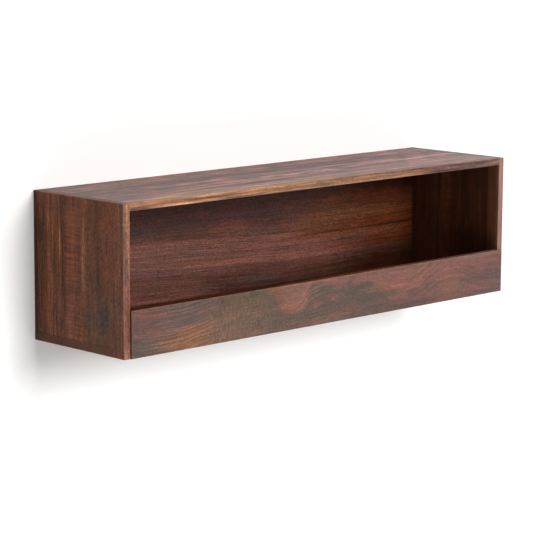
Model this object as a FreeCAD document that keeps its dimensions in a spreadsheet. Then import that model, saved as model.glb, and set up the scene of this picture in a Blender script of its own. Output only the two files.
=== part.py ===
"""Wall shelf: an open box of edge-glued hardwood with a low fixed lip across its front.

The frame: x runs along the wall to the right, y = 0 is the wall and the front faces -y, z is up.
The origin is the middle of the rear face. All sizes are millimetres.
"""
import FreeCAD, Part
import os
import Sketcher

Vector = FreeCAD.Vector
Rotation = FreeCAD.Rotation

doc = FreeCAD.newDocument("WallShelf")
sheet = doc.addObject("Spreadsheet::Sheet", "Sizes")

# Driving dimensions: alias, value, what it sets
SIZES = [
    ("shelf_width", 900, "outside, end to end"),
    ("shelf_height", 243, "outside, underside to top face"),
    ("shelf_depth", 220, "wall to the front edges of the sides"),
    ("side_board", 12.5, "thickness of the two sides"),
    ("top_board", 12.5, "thickness of the top"),
    ("bottom_board", 12.5, "thickness of the bottom"),
    ("back_board", 12, "thickness of the back panel"),
    ("lip_board", 12.5, "thickness of the front lip"),
    ("lip_height", 76, "height of the front lip"),
    ("lip_proud", 3, "how far the lip stands in front of the sides"),
    ("lip_gap", 0.4, "hairline between the left side and the lip"),
    ("lip_skin", 3.4, "wood of the right side left standing outside the lip's end"),
    ("side_front_stave", 26, "width of each side's front stave, the one that runs to the floor"),
    ("side_middle_stave", 75, "width of the stave behind it"),
    ("side_curly_stave", 43, "width of the narrow figured stave"),
    ("top_front_stave", 72, "width of the top's front stave"),
    ("top_middle_stave", 72, "width of the top's middle stave"),
    ("bottom_front_stave", 70.5, "width of the bottom's front stave"),
    ("bottom_middle_stave", 70, "width of the bottom's middle stave"),
    ("back_lower_stave", 74, "width of the back's lowest stave"),
    ("back_middle_stave", 70, "width of the back's middle stave"),
    ("edge_round", 0.8, "radius that eases the outer edges"),
    ("dowel_radius", 3, "beech dowels in the carcass joints"),
    ("dowel_in_face", 8, "how deep a dowel sits in the board whose face is drilled"),
    ("dowel_in_edge", 20, "how deep it sits in the end or edge of the other board"),
    ("pin_radius", 2, "thin dowels at the ends of the lip"),
    ("pin_in_face", 8, "how deep a thin dowel sits in the drilled face"),
    ("pin_in_edge", 11, "how deep it sits in the other board"),
    ("dowel_taper", 1, "length of the tapered tips of a dowel"),
    ("dowel_tip_cut", 0.5, "how much a tip narrows the radius"),
    ("dowel_slack", 0.5, "free depth past each end of a dowel"),
    ("glue_fit", 0.05, "room round a dowel, a screw or a plate in its hole"),
    ("lip_dowel_spacing", 220, "between the dowels along the foot of the lip"),
    ("lip_pin_spacing", 36, "between the two thin dowels at each end of the lip"),
    ("floor_screw_length", 38, "screws up through the bottom into the sides"),
    ("floor_screw_radius", 2, "their shanks"),
    ("floor_screw_head", 4, "radius of their heads"),
    ("floor_screw_sink", 2.2, "height of their countersunk heads"),
    ("screw_set", 0.3, "how far a screw head lies below the surface"),
    ("screw_tip", 3, "length of a screw's point"),
    ("screw_tip_radius", 0.3, "how blunt the point is"),
    ("recess_width", 0.9, "arms of the cross recess in a screw head"),
    ("recess_depth", 1.2, "depth of the cross recess"),
    ("recess_margin", 0.2, "how far its arms stay inside the shank's radius"),
    ("hanger_inset", 150, "from each end of the shelf to the middle of a keyhole hanger"),
    ("hanger_drop", 61, "from the top face down to the keyholes' round entries"),
    ("plate_thickness", 1.8, "steel of a hanger plate"),
    ("plate_width", 18, "width of a hanger plate, whose ends are half round"),
    ("plate_above", 28, "from the entry up to the plate's upper end"),
    ("plate_below", 20, "from the entry down to the plate's lower end"),
    ("entry_radius", 5, "round entry that takes a wall screw's head"),
    ("slot_radius", 2.3, "half the width of the slot above it"),
    ("slot_rise", 13, "from the entry up to where the wall screw bears"),
    ("head_room", 5.2, "depth of the hollow behind a plate for the wall screw's head"),
    ("hanger_screw_above", 21, "from the entry up to the plate's upper screw"),
    ("hanger_screw_below", 13, "from the entry down to the plate's lower screw"),
    ("hanger_screw_length", 9, "screws that hold the plates"),
    ("hanger_screw_radius", 1.4, "their shanks"),
    ("hanger_screw_head", 2.7, "radius of their heads"),
    ("hanger_screw_sink", 1.3, "height of their countersunk heads"),
]
for row, (alias, value, note) in enumerate(SIZES, start=1):
    sheet.set(f"A{row}", alias)
    sheet.set(f"B{row}", str(value))
    sheet.set(f"C{row}", note)
    sheet.setAlias(f"B{row}", alias)
doc.recompute()

# Places that several pieces share, as expressions of the sheet
OUTER_X = "Sizes.shelf_width / 2"
INNER_X = f"({OUTER_X} - Sizes.side_board)"
TOP_Z = "Sizes.shelf_height / 2"
FLOOR_Z = "-Sizes.shelf_height / 2"
CEILING_Z = f"({TOP_Z} - Sizes.top_board)"
SHELF_Z = f"({FLOOR_Z} + Sizes.bottom_board)"
FRONT_Y = "-Sizes.shelf_depth"
LIP_BACK_Y = "(-Sizes.shelf_depth - Sizes.lip_proud + Sizes.lip_board)"
LIP_RIGHT_X = f"({OUTER_X} - Sizes.lip_skin)"
FRONT_STAVE_Y = "(-Sizes.shelf_depth + Sizes.side_front_stave)"
MIDDLE_STAVE_Y = f"({FRONT_STAVE_Y} + Sizes.side_middle_stave)"
CURLY_STAVE_Y = f"({MIDDLE_STAVE_Y} + Sizes.side_curly_stave)"
BACK_MIDDLE_Z = f"({SHELF_Z} + Sizes.back_lower_stave)"
BACK_UPPER_Z = f"({BACK_MIDDLE_Z} + Sizes.back_middle_stave)"
ENTRY_Z = f"({TOP_Z} - Sizes.hanger_drop)"

# Middles of the three short side staves, where the top's dowels and the bottom's screws go
STAVE_MIDDLES_Y = [
    f"{CURLY_STAVE_Y} / 2",
    f"({CURLY_STAVE_Y} + {MIDDLE_STAVE_Y}) / 2",
    f"({MIDDLE_STAVE_Y} + {FRONT_STAVE_Y}) / 2",
]

# Turns that lay a piece made along +z in another direction
TURNS = {
    "+x": Rotation(Vector(0, 1, 0), 90),
    "-x": Rotation(Vector(0, 1, 0), -90),
    "+y": Rotation(Vector(1, 0, 0), -90),
    "-y": Rotation(Vector(1, 0, 0), 90),
    "+z": Rotation(),
}

# Size of a sketch before its constraints are tied to the sheet
ROUGH = 10
# How near an edge's middle lies to a side of its board to count as on it
ON_SIDE = 1e-6

nodes = []


def bind(thing, expressions):
    """Tie properties of an object to expressions of the sheet."""
    for name, expression in expressions.items():
        thing.setExpression(name, expression)


def lay(thing, spot, along="+z"):
    """Turn an object to a direction and tie its place to three expressions."""
    thing.Placement = FreeCAD.Placement(Vector(), TURNS[along])
    bind(thing, {f"Placement.Base.{axis}": place for axis, place in zip("xyz", spot)})


def origin_plane(body, role):
    """The body's own origin plane with the given role."""
    for plane in body.Origin.OriginFeatures:
        if plane.Role == role:
            return plane
    raise RuntimeError(f"{body.Label} has no {role}")


def edge_names(shape, picks):
    """Names of the edges that lie on two sides of a shape's box, each pick such as 'x-z+'."""
    box = shape.BoundBox
    sides = {
        "x-": (0, box.XMin), "x+": (0, box.XMax),
        "y-": (1, box.YMin), "y+": (1, box.YMax),
        "z-": (2, box.ZMin), "z+": (2, box.ZMax),
    }
    names = []
    for number, edge in enumerate(shape.Edges, start=1):
        middle = edge.CenterOfMass
        for pick in picks:
            wanted = [sides[pick[:2]], sides[pick[2:]]]
            if all(abs(middle[axis] - place) < ON_SIDE for axis, place in wanted):
                names.append(f"Edge{number}")
    return names


def board(label, low, high, eased=()):
    """One straight piece of wood between two corners: a rectangle, padded up, its edges eased."""
    body = doc.addObject("PartDesign::Body", label + "_blank")
    sketch = body.newObject("Sketcher::SketchObject", label + "_outline")
    sketch.AttachmentSupport = [(origin_plane(body, "XY_Plane"), "")]
    sketch.MapMode = "FlatFace"
    corners = [Vector(0, 0, 0), Vector(ROUGH, 0, 0), Vector(ROUGH, ROUGH, 0), Vector(0, ROUGH, 0)]
    for number, corner in enumerate(corners):
        sketch.addGeometry(Part.LineSegment(corner, corners[(number + 1) % 4]), False)
    rules = [("Coincident", side, 2, (side + 1) % 4, 1) for side in range(4)]
    rules += [("Horizontal", 0), ("Vertical", 1), ("Horizontal", 2), ("Vertical", 3)]
    rules += [("Coincident", 0, 1, -1, 1)]
    for rule in rules:
        sketch.addConstraint(Sketcher.Constraint(*rule))
    across = sketch.addConstraint(Sketcher.Constraint("DistanceX", 0, 1, 0, 2, ROUGH))
    deep = sketch.addConstraint(Sketcher.Constraint("DistanceY", 1, 1, 1, 2, ROUGH))
    sketch.setExpression(f"Constraints[{across}]", f"({high[0]}) - ({low[0]})")
    sketch.setExpression(f"Constraints[{deep}]", f"({high[1]}) - ({low[1]})")
    pad = body.newObject("PartDesign::Pad", label + "_pad")
    pad.Profile = sketch
    pad.setExpression("Length", f"({high[2]}) - ({low[2]})")
    doc.recompute()
    if eased:
        fillet = body.newObject("PartDesign::Fillet", label + "_eased")
        fillet.Base = (pad, edge_names(pad.Shape, eased))
        fillet.setExpression("Radius", "Sizes.edge_round")
    lay(body, low)
    return body


def block(label, low, high):
    """A plain box between two corners, used as a cutter."""
    box = doc.addObject("Part::Box", label)
    for name, axis in (("Length", 0), ("Width", 1), ("Height", 2)):
        box.setExpression(name, f"({high[axis]}) - ({low[axis]})")
    lay(box, low)
    return box


def rod(label, start, radius, length):
    """A cylinder that stands on its start point."""
    cylinder = doc.addObject("Part::Cylinder", label)
    bind(cylinder, {"Radius": radius, "Height": length})
    lay(cylinder, start)
    return cylinder


def taper(label, start, first_radius, last_radius, length):
    """A cone that stands on its start point."""
    cone = doc.addObject("Part::Cone", label)
    bind(cone, {"Radius1": first_radius, "Radius2": last_radius, "Height": length})
    lay(cone, start)
    return cone


def fused(label, pieces):
    """Several solids joined into one."""
    fuse = doc.addObject("Part::MultiFuse", label)
    fuse.Shapes = pieces
    return fuse


def cut(label, base, tools):
    """A base with several tools cut away."""
    result = doc.addObject("Part::Cut", label)
    result.Base = base
    result.Tool = tools[0] if len(tools) == 1 else fused(label + "_tools", tools)
    return result


def placed(label, master, spot, along):
    """A copy of a master piece, laid in a direction at a spot."""
    copy = doc.addObject("Part::Compound", label)
    copy.Links = [master]
    lay(copy, spot, along)
    return copy


def row_of(label, master, spots, along):
    """Copies of a master piece at several spots."""
    group = doc.addObject("Part::Compound", label)
    group.Links = [placed(f"{label}_{n}", master, spot, along) for n, spot in enumerate(spots, start=1)]
    return group


def node(thing, label):
    """Name a finished sub-part and list it for writing."""
    thing.Label = label
    nodes.append(thing)


def dowel_masters(name):
    """A dowel and its hole, both along +z, with z = 0 at the face that is drilled."""
    radius = f"Sizes.{name}_radius"
    in_face = f"Sizes.{name}_in_face"
    in_edge = f"Sizes.{name}_in_edge"
    tip = "Sizes.dowel_taper"
    slim = f"{radius} - Sizes.dowel_tip_cut"
    dowel = fused(name, [
        taper(name + "_tail", ("0", "0", f"-{in_face}"), slim, radius, tip),
        rod(name + "_body", ("0", "0", f"-{in_face} + {tip}"), radius, f"{in_face} + {in_edge} - 2 * {tip}"),
        taper(name + "_nose", ("0", "0", f"{in_edge} - {tip}"), radius, slim, tip),
    ])
    hole = rod(
        name + "_hole",
        ("0", "0", f"-{in_face} - Sizes.dowel_slack"),
        f"{radius} + Sizes.glue_fit",
        f"{in_face} + {in_edge} + 2 * Sizes.dowel_slack",
    )
    return dowel, hole


def screw_masters(name):
    """A countersunk screw and its hole, both along +z, with z = 0 at the head's flat top."""
    radius = f"Sizes.{name}_radius"
    head = f"Sizes.{name}_head"
    sink = f"Sizes.{name}_sink"
    length = f"Sizes.{name}_length"
    fit = "Sizes.glue_fit"
    solid = fused(name + "_solid", [
        taper(name + "_head_cone", ("0", "0", "0"), head, radius, sink),
        rod(name + "_shank", ("0", "0", sink), radius, f"{length} - {sink} - Sizes.screw_tip"),
        taper(
            name + "_point", ("0", "0", f"{length} - Sizes.screw_tip"),
            radius, "Sizes.screw_tip_radius", "Sizes.screw_tip",
        ),
    ])
    arm = f"({radius} - Sizes.recess_margin)"
    half = "Sizes.recess_width / 2"
    screw = cut(name, solid, [
        block(name + "_recess_x", (f"-{arm}", f"-{half}", "0"), (arm, half, "Sizes.recess_depth")),
        block(name + "_recess_y", (f"-{half}", f"-{arm}", "0"), (half, arm, "Sizes.recess_depth")),
    ])
    hole = fused(name + "_hole", [
        rod(name + "_mouth", ("0", "0", "-2 * Sizes.screw_set"), f"{head} + {fit}", "2 * Sizes.screw_set"),
        taper(name + "_seat", ("0", "0", "0"), f"{head} + {fit}", f"{radius} + {fit}", sink),
        rod(name + "_bore", ("0", "0", sink), f"{radius} + {fit}", f"{length} - {sink} + Sizes.dowel_slack"),
    ])
    return screw, hole


def round_ended(label, half_width, low_end, high_end, depth, start="0"):
    """An upright bar with half-round ends, made flat on x and y with its length along y."""
    pieces = [
        block(
            label + "_bar",
            (f"-({half_width})", f"-({low_end}) + {half_width}", start),
            (half_width, f"{high_end} - ({half_width})", f"{start} + {depth}"),
        ),
        rod(label + "_low_end", ("0", f"-({low_end}) + {half_width}", start), half_width, depth),
        rod(label + "_high_end", ("0", f"{high_end} - ({half_width})", start), half_width, depth),
    ]
    return fused(label, pieces)


# Fixings, made once along +z and laid where they go
dowel, dowel_hole = dowel_masters("dowel")
pin, pin_hole = dowel_masters("pin")
floor_screw, floor_screw_hole = screw_masters("floor_screw")
hanger_screw, hanger_screw_hole = screw_masters("hanger_screw")

# A keyhole hanger lies flat: its rear face at z = 0, its round entry at the origin, its slot along y
plate_screw_spots = [
    ("0", "Sizes.hanger_screw_above", "Sizes.screw_set"),
    ("0", "-Sizes.hanger_screw_below", "Sizes.screw_set"),
]
plate_screw_holes = row_of("plate_screw_holes", hanger_screw_hole, plate_screw_spots, "+z")
plate = cut(
    "hanger_plate",
    round_ended(
        "plate_blank", "Sizes.plate_width / 2", "Sizes.plate_below", "Sizes.plate_above",
        "Sizes.plate_thickness",
    ),
    [
        rod("keyhole_entry", ("0", "0", "0"), "Sizes.entry_radius", "Sizes.plate_thickness"),
        round_ended(
            "keyhole_slot", "Sizes.slot_radius", "Sizes.slot_radius",
            "(Sizes.slot_rise + Sizes.slot_radius)", "Sizes.plate_thickness",
        ),
        plate_screw_holes,
    ],
)
plate_pocket = fused("plate_pocket", [
    round_ended(
        "plate_recess",
        "(Sizes.plate_width / 2 + Sizes.glue_fit)",
        "(Sizes.plate_below + Sizes.glue_fit)",
        "(Sizes.plate_above + Sizes.glue_fit)",
        "Sizes.plate_thickness",
    ),
    round_ended(
        "head_hollow", "Sizes.entry_radius", "Sizes.entry_radius",
        "(Sizes.slot_rise + Sizes.entry_radius)", "Sizes.head_room", "Sizes.plate_thickness",
    ),
    plate_screw_holes,
])

# Where the fixings go. A dowel's spot lies on the face that is drilled.
TOP_DOWELS_Z = f"({TOP_Z} - Sizes.top_board / 2)"
BACK_DOWELS_Y = "-Sizes.back_board / 2"
BACK_DOWELS_Z = [
    f"({SHELF_Z} + {BACK_MIDDLE_Z}) / 2",
    f"({BACK_MIDDLE_Z} + {BACK_UPPER_Z}) / 2",
    f"({BACK_UPPER_Z} + {CEILING_Z}) / 2",
]
SIDE_MIDDLE_X = f"({OUTER_X} - Sizes.side_board / 2)"
LIP_TOP_Z = f"({FLOOR_Z} + Sizes.lip_height)"
LIP_DOWEL_COUNT = 4
LIP_PINS_Z = [
    f"{FLOOR_Z} + Sizes.lip_height / 2 - Sizes.lip_pin_spacing / 2",
    f"{FLOOR_Z} + Sizes.lip_height / 2 + Sizes.lip_pin_spacing / 2",
]
HANGER_X = f"({OUTER_X} - Sizes.hanger_inset)"


def fixed(label, piece, hole, spots, along):
    """Place a row of fixings as one node and return the row of holes that they need."""
    node(row_of(label + "_row", piece, spots, along), label)
    return row_of(label + "_holes", hole, spots, along)


SIGNS = {"left": ("-", "+x"), "right": ("", "-x")}
top_holes = {}
back_holes = {}
floor_holes = {}
plate_pockets = {}
for side, (sign, inwards) in SIGNS.items():
    inner_face = f"{sign}{INNER_X}"
    top_holes[side] = fixed(
        f"top_dowels_{side}", dowel, dowel_hole,
        [(inner_face, y, TOP_DOWELS_Z) for y in STAVE_MIDDLES_Y], inwards,
    )
    back_holes[side] = fixed(
        f"back_dowels_{side}", dowel, dowel_hole,
        [(inner_face, BACK_DOWELS_Y, z) for z in BACK_DOWELS_Z], inwards,
    )
    floor_holes[side] = fixed(
        f"bottom_screws_{side}", floor_screw, floor_screw_hole,
        [(f"{sign}{SIDE_MIDDLE_X}", y, f"{FLOOR_Z} + Sizes.screw_set") for y in STAVE_MIDDLES_Y], "+z",
    )
    hanger_x = f"{sign}{HANGER_X}"
    node(placed(f"hanger_plate_{side}_copy", plate, (hanger_x, "0", ENTRY_Z), "-y"), f"hanger_plate_{side}")
    plate_screws_z = [f"{ENTRY_Z} + Sizes.hanger_screw_above", f"{ENTRY_Z} - Sizes.hanger_screw_below"]
    node(
        row_of(
            f"hanger_screws_{side}_row", hanger_screw,
            [(hanger_x, "-Sizes.screw_set", z) for z in plate_screws_z], "-y",
        ),
        f"hanger_screws_{side}",
    )
    plate_pockets[side] = placed(f"plate_pocket_{side}", plate_pocket, (hanger_x, "0", ENTRY_Z), "-y")

lip_dowels_x = [f"{n - (LIP_DOWEL_COUNT - 1) / 2} * Sizes.lip_dowel_spacing" for n in range(LIP_DOWEL_COUNT)]
lip_holes = fixed(
    "lip_dowels", dowel, dowel_hole,
    [(x, LIP_BACK_Y, f"({FLOOR_Z} + {SHELF_Z}) / 2") for x in lip_dowels_x], "+y",
)
lip_pin_holes = {
    "left": fixed(
        "lip_pins_left", pin, pin_hole,
        [(f"-{INNER_X}", f"({LIP_BACK_Y} + {FRONT_Y}) / 2", z) for z in LIP_PINS_Z], "+x",
    ),
    "right": fixed(
        "lip_pins_right", pin, pin_hole,
        [(f"({INNER_X} + {LIP_RIGHT_X}) / 2", LIP_BACK_Y, z) for z in LIP_PINS_Z], "+y",
    ),
}


def make_side(side, outer_x, inner_x, extra_cuts):
    """One side: three short staves that stand on the bottom board and a front one down to the floor."""
    low_x, high_x = (outer_x, inner_x) if side == "left" else (inner_x, outer_x)
    out, inn = ("x-", "x+") if side == "left" else ("x+", "x-")
    holes = fused(f"{side}_side_holes", [
        top_holes[side], back_holes[side], floor_holes[side], lip_pin_holes[side],
    ])
    staves = [
        ("rear", CURLY_STAVE_Y, "0", SHELF_Z, [out + "z+", out + "y+"], []),
        ("curly", MIDDLE_STAVE_Y, CURLY_STAVE_Y, SHELF_Z, [out + "z+"], []),
        ("middle", FRONT_STAVE_Y, MIDDLE_STAVE_Y, SHELF_Z, [out + "z+"], []),
        ("front", FRONT_Y, FRONT_STAVE_Y, FLOOR_Z,
         [out + "z+", out + "z-", out + "y-", inn + "y-", "y-z+", "y-z-"], extra_cuts),
    ]
    for name, front_y, rear_y, low_z, eased, cuts in staves:
        label = f"{side}_side_{name}_stave"
        blank = board(label, (low_x, front_y, low_z), (high_x, rear_y, TOP_Z), eased)
        node(cut(label + "_cut", blank, [holes] + cuts), label)


# The lip fits beside the left side and laps the right one, in a rebate that leaves a skin outside
lip_front_y = f"({FRONT_Y} - Sizes.lip_proud)"
lip_rebate = block("lip_rebate", (INNER_X, lip_front_y, FLOOR_Z), (LIP_RIGHT_X, LIP_BACK_Y, LIP_TOP_Z))
make_side("left", f"-{OUTER_X}", f"-{INNER_X}", [])
make_side("right", OUTER_X, INNER_X, [lip_rebate])

# The top lies between the sides
TOP_FRONT_Y = f"({FRONT_Y} + Sizes.top_front_stave)"
TOP_MIDDLE_Y = f"({TOP_FRONT_Y} + Sizes.top_middle_stave)"
top_cutters = fused("top_cutters", [top_holes["left"], top_holes["right"]])
for name, front_y, rear_y, eased in [
    ("rear", TOP_MIDDLE_Y, "0", []),
    ("middle", TOP_FRONT_Y, TOP_MIDDLE_Y, []),
    ("front", FRONT_Y, TOP_FRONT_Y, ["y-z+", "y-z-"]),
]:
    label = f"top_{name}_stave"
    blank = board(label, (f"-{INNER_X}", front_y, CEILING_Z), (INNER_X, rear_y, TOP_Z), eased)
    node(cut(label + "_cut", blank, [top_cutters]), label)

# The bottom runs out through the sides and is notched round their front staves
BOTTOM_FRONT_Y = f"({LIP_BACK_Y} + Sizes.bottom_front_stave)"
BOTTOM_MIDDLE_Y = f"({BOTTOM_FRONT_Y} + Sizes.bottom_middle_stave)"
bottom_cutters = fused("bottom_cutters", [
    floor_holes["left"],
    floor_holes["right"],
    lip_holes,
    block("left_corner_notch", (f"-{OUTER_X}", LIP_BACK_Y, FLOOR_Z), (f"-{INNER_X}", FRONT_STAVE_Y, SHELF_Z)),
    block("right_corner_notch", (INNER_X, LIP_BACK_Y, FLOOR_Z), (OUTER_X, FRONT_STAVE_Y, SHELF_Z)),
])
for name, front_y, rear_y in [
    ("rear", BOTTOM_MIDDLE_Y, "0"),
    ("middle", BOTTOM_FRONT_Y, BOTTOM_MIDDLE_Y),
    ("front", LIP_BACK_Y, BOTTOM_FRONT_Y),
]:
    label = f"bottom_{name}_stave"
    blank = board(label, (f"-{OUTER_X}", front_y, FLOOR_Z), (OUTER_X, rear_y, SHELF_Z), ["x-z-", "x+z-"])
    node(cut(label + "_cut", blank, [bottom_cutters]), label)

# The back fills the space between them, flush with their rear edges
back_cutters = fused("back_cutters", [*back_holes.values(), *plate_pockets.values()])
for name, low_z, high_z in [
    ("lower", SHELF_Z, BACK_MIDDLE_Z),
    ("middle", BACK_MIDDLE_Z, BACK_UPPER_Z),
    ("upper", BACK_UPPER_Z, CEILING_Z),
]:
    label = f"back_{name}_stave"
    blank = board(label, (f"-{INNER_X}", "-Sizes.back_board", low_z), (INNER_X, "0", high_z))
    node(cut(label + "_cut", blank, [back_cutters]), label)

# The lip
lip_blank = board(
    "front_lip",
    (f"-{INNER_X} + Sizes.lip_gap", lip_front_y, FLOOR_Z),
    (LIP_RIGHT_X, LIP_BACK_Y, LIP_TOP_Z),
    ["x-y-", "x+y-", "y-z-", "y-z+", "y+z+"],
)
node(cut("front_lip_cut", lip_blank, [lip_holes, *lip_pin_holes.values()]), "front_lip")

doc.recompute()

for thing in doc.Objects:
    if "Invalid" in thing.State or "Error" in thing.State:
        raise RuntimeError(f"{thing.Name} failed: {thing.State}")
for thing in nodes:
    if thing.Shape.isNull() or not thing.Shape.isValid() or not thing.Shape.Solids:
        raise RuntimeError(f"{thing.Label} has no valid solid")

os.makedirs("parts", exist_ok=True)
for thing in nodes:
    solids = thing.Shape.Solids
    shape = solids[0] if len(solids) == 1 else Part.makeCompound(solids)
    shape.exportStep(f"parts/{thing.Label}.step")
    print(f"{thing.Label}: {len(solids)} solid(s), {shape.Volume / 1000:.2f} cm3")
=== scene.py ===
"""Finishes, fine fittings and studio of the wall shelf.

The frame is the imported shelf: x runs along the wall, y = 0 is the wall and the front faces -y, z is up.
Objects are in metres. Finishes are written in millimetres, as a maker measures the shelf: x from the
middle of its length, depth out from the wall, height up from its underside.
"""

import logging
import math
from dataclasses import KW_ONLY, dataclass
from enum import Enum, IntEnum

import bpy
import numpy as np
from mathutils import Matrix, Vector


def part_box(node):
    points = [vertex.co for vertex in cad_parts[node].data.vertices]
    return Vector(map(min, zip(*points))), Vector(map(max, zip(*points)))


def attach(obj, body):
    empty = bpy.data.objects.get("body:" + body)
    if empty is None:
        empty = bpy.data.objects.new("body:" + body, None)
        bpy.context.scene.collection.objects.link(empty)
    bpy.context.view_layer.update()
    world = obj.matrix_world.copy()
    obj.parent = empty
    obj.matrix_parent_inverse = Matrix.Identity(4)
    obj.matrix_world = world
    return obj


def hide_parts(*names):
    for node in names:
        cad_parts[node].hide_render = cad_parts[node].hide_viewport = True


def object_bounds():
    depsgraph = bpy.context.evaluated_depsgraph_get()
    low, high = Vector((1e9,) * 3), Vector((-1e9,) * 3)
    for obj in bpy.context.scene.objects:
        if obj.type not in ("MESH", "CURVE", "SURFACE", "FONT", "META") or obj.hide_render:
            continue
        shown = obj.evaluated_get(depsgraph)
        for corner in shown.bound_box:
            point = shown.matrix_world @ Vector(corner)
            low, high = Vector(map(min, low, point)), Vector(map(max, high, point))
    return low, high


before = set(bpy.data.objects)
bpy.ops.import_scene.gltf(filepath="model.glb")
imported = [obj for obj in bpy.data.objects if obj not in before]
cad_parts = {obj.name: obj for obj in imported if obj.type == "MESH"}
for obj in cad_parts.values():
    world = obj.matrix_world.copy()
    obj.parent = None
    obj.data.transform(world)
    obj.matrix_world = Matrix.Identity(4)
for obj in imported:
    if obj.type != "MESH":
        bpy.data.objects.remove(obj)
CAD_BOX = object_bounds()

log = logging.getLogger("wall_shelf")

Socket = bpy.types.NodeSocket
Value = float | tuple[float, ...] | Socket
# Places in millimetres, in order, each with a height
Curve = tuple[tuple[float, float], ...]

PER_METRE = 1000.0
ROOT = "root"

# A screen's own curve, from its values to linear light
SCREEN_FULL = 255
SCREEN_KNEE = 0.04045
SCREEN_SLOPE = 12.92
SCREEN_LIFT = 0.055
SCREEN_POWER = 2.4

# Noise lies about its middle; the swing turns that into -1 to 1, and the contrast into a factor's full range
NOISE_MIDDLE = 0.5
NOISE_SWING = 2.0
NOISE_CONTRAST = 4.0

# Factors that cool and warm bands, and grey and pink mottle, put on a board's colour
COOL_TINT = (0.94, 1.02, 1.03, 1.0)
WARM_TINT = (1.06, 0.98, 0.96, 1.0)
GREY_TINT = (0.95, 1.03, 1.0, 1.0)
PINK_TINT = (1.05, 0.96, 1.0, 1.0)

# The outer box in millimetres, read from the frame
HALF_LENGTH = CAD_BOX[1].x * PER_METRE
TALL = (CAD_BOX[1].z - CAD_BOX[0].z) * PER_METRE


class Tone(Enum):
    """Colours of this wood as a screen shows them under plain light, 0 to 255."""

    TAR = (46, 20, 9)
    EMBER = (66, 30, 15)
    BRICK = (86, 41, 21)
    COFFEE = (64, 40, 29)
    PLUM = (78, 46, 38)
    UMBER = (84, 50, 34)
    WALNUT = (95, 56, 36)
    CHESTNUT = (104, 62, 40)
    RUSSET = (115, 67, 43)
    COPPER = (124, 76, 50)
    GINGER = (136, 86, 56)
    APRICOT = (158, 104, 74)
    STRAW = (130, 93, 72)
    AMBER = (152, 110, 84)
    HONEY = (168, 122, 92)
    TAWNY = (108, 75, 53)
    LODEN = (65, 60, 53)
    OLIVE = (88, 61, 45)
    FERN = (83, 63, 53)
    MOSS = (96, 72, 56)
    SLATE = (90, 66, 60)
    DUSK = (92, 59, 50)
    SLOE = (82, 53, 48)
    HEATHER = (115, 84, 78)
    MAUVE = (104, 66, 60)
    CLAY = (118, 74, 64)
    TILE = (118, 69, 53)
    ROSE = (125, 82, 70)
    LILAC = (141, 98, 94)
    BLUSH = (142, 98, 88)
    PETAL = (160, 118, 108)
    BEECH = (196, 160, 118)
    # Rubbed arrises, paler also by a painted glint of light on their rounded edges
    WORN_GLINT = (166, 120, 96)

    @property
    def linear(self) -> tuple[float, float, float, float]:
        """The tone as linear light with full alpha.

        Returns:
            Red, green, blue and alpha, from 0 to 1.
        """
        screen = np.array(self.value) / SCREEN_FULL
        curved = ((screen + SCREEN_LIFT) / (1 + SCREEN_LIFT)) ** SCREEN_POWER
        light = np.where(screen <= SCREEN_KNEE, screen / SCREEN_SLOPE, curved)
        return (*light.tolist(), 1.0)


# Places in millimetres, in order, each with the tone there
Stops = tuple[tuple[float, Tone], ...]


class Lie(Enum):
    """How a board lies: which of x, depth and height run along, across and through its grain."""

    LYING = (0, 1, 2)
    FACING = (0, 2, 1)
    STANDING = (2, 1, 0)


class Hand(Enum):
    """The two ends of the shelf as seen from its front, with the word that nodes use for each."""

    LEFT = "left"
    RIGHT = "right"


class Axis(IntEnum):
    """The frame's axes by number."""

    X = 0
    Y = 1
    Z = 2


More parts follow.
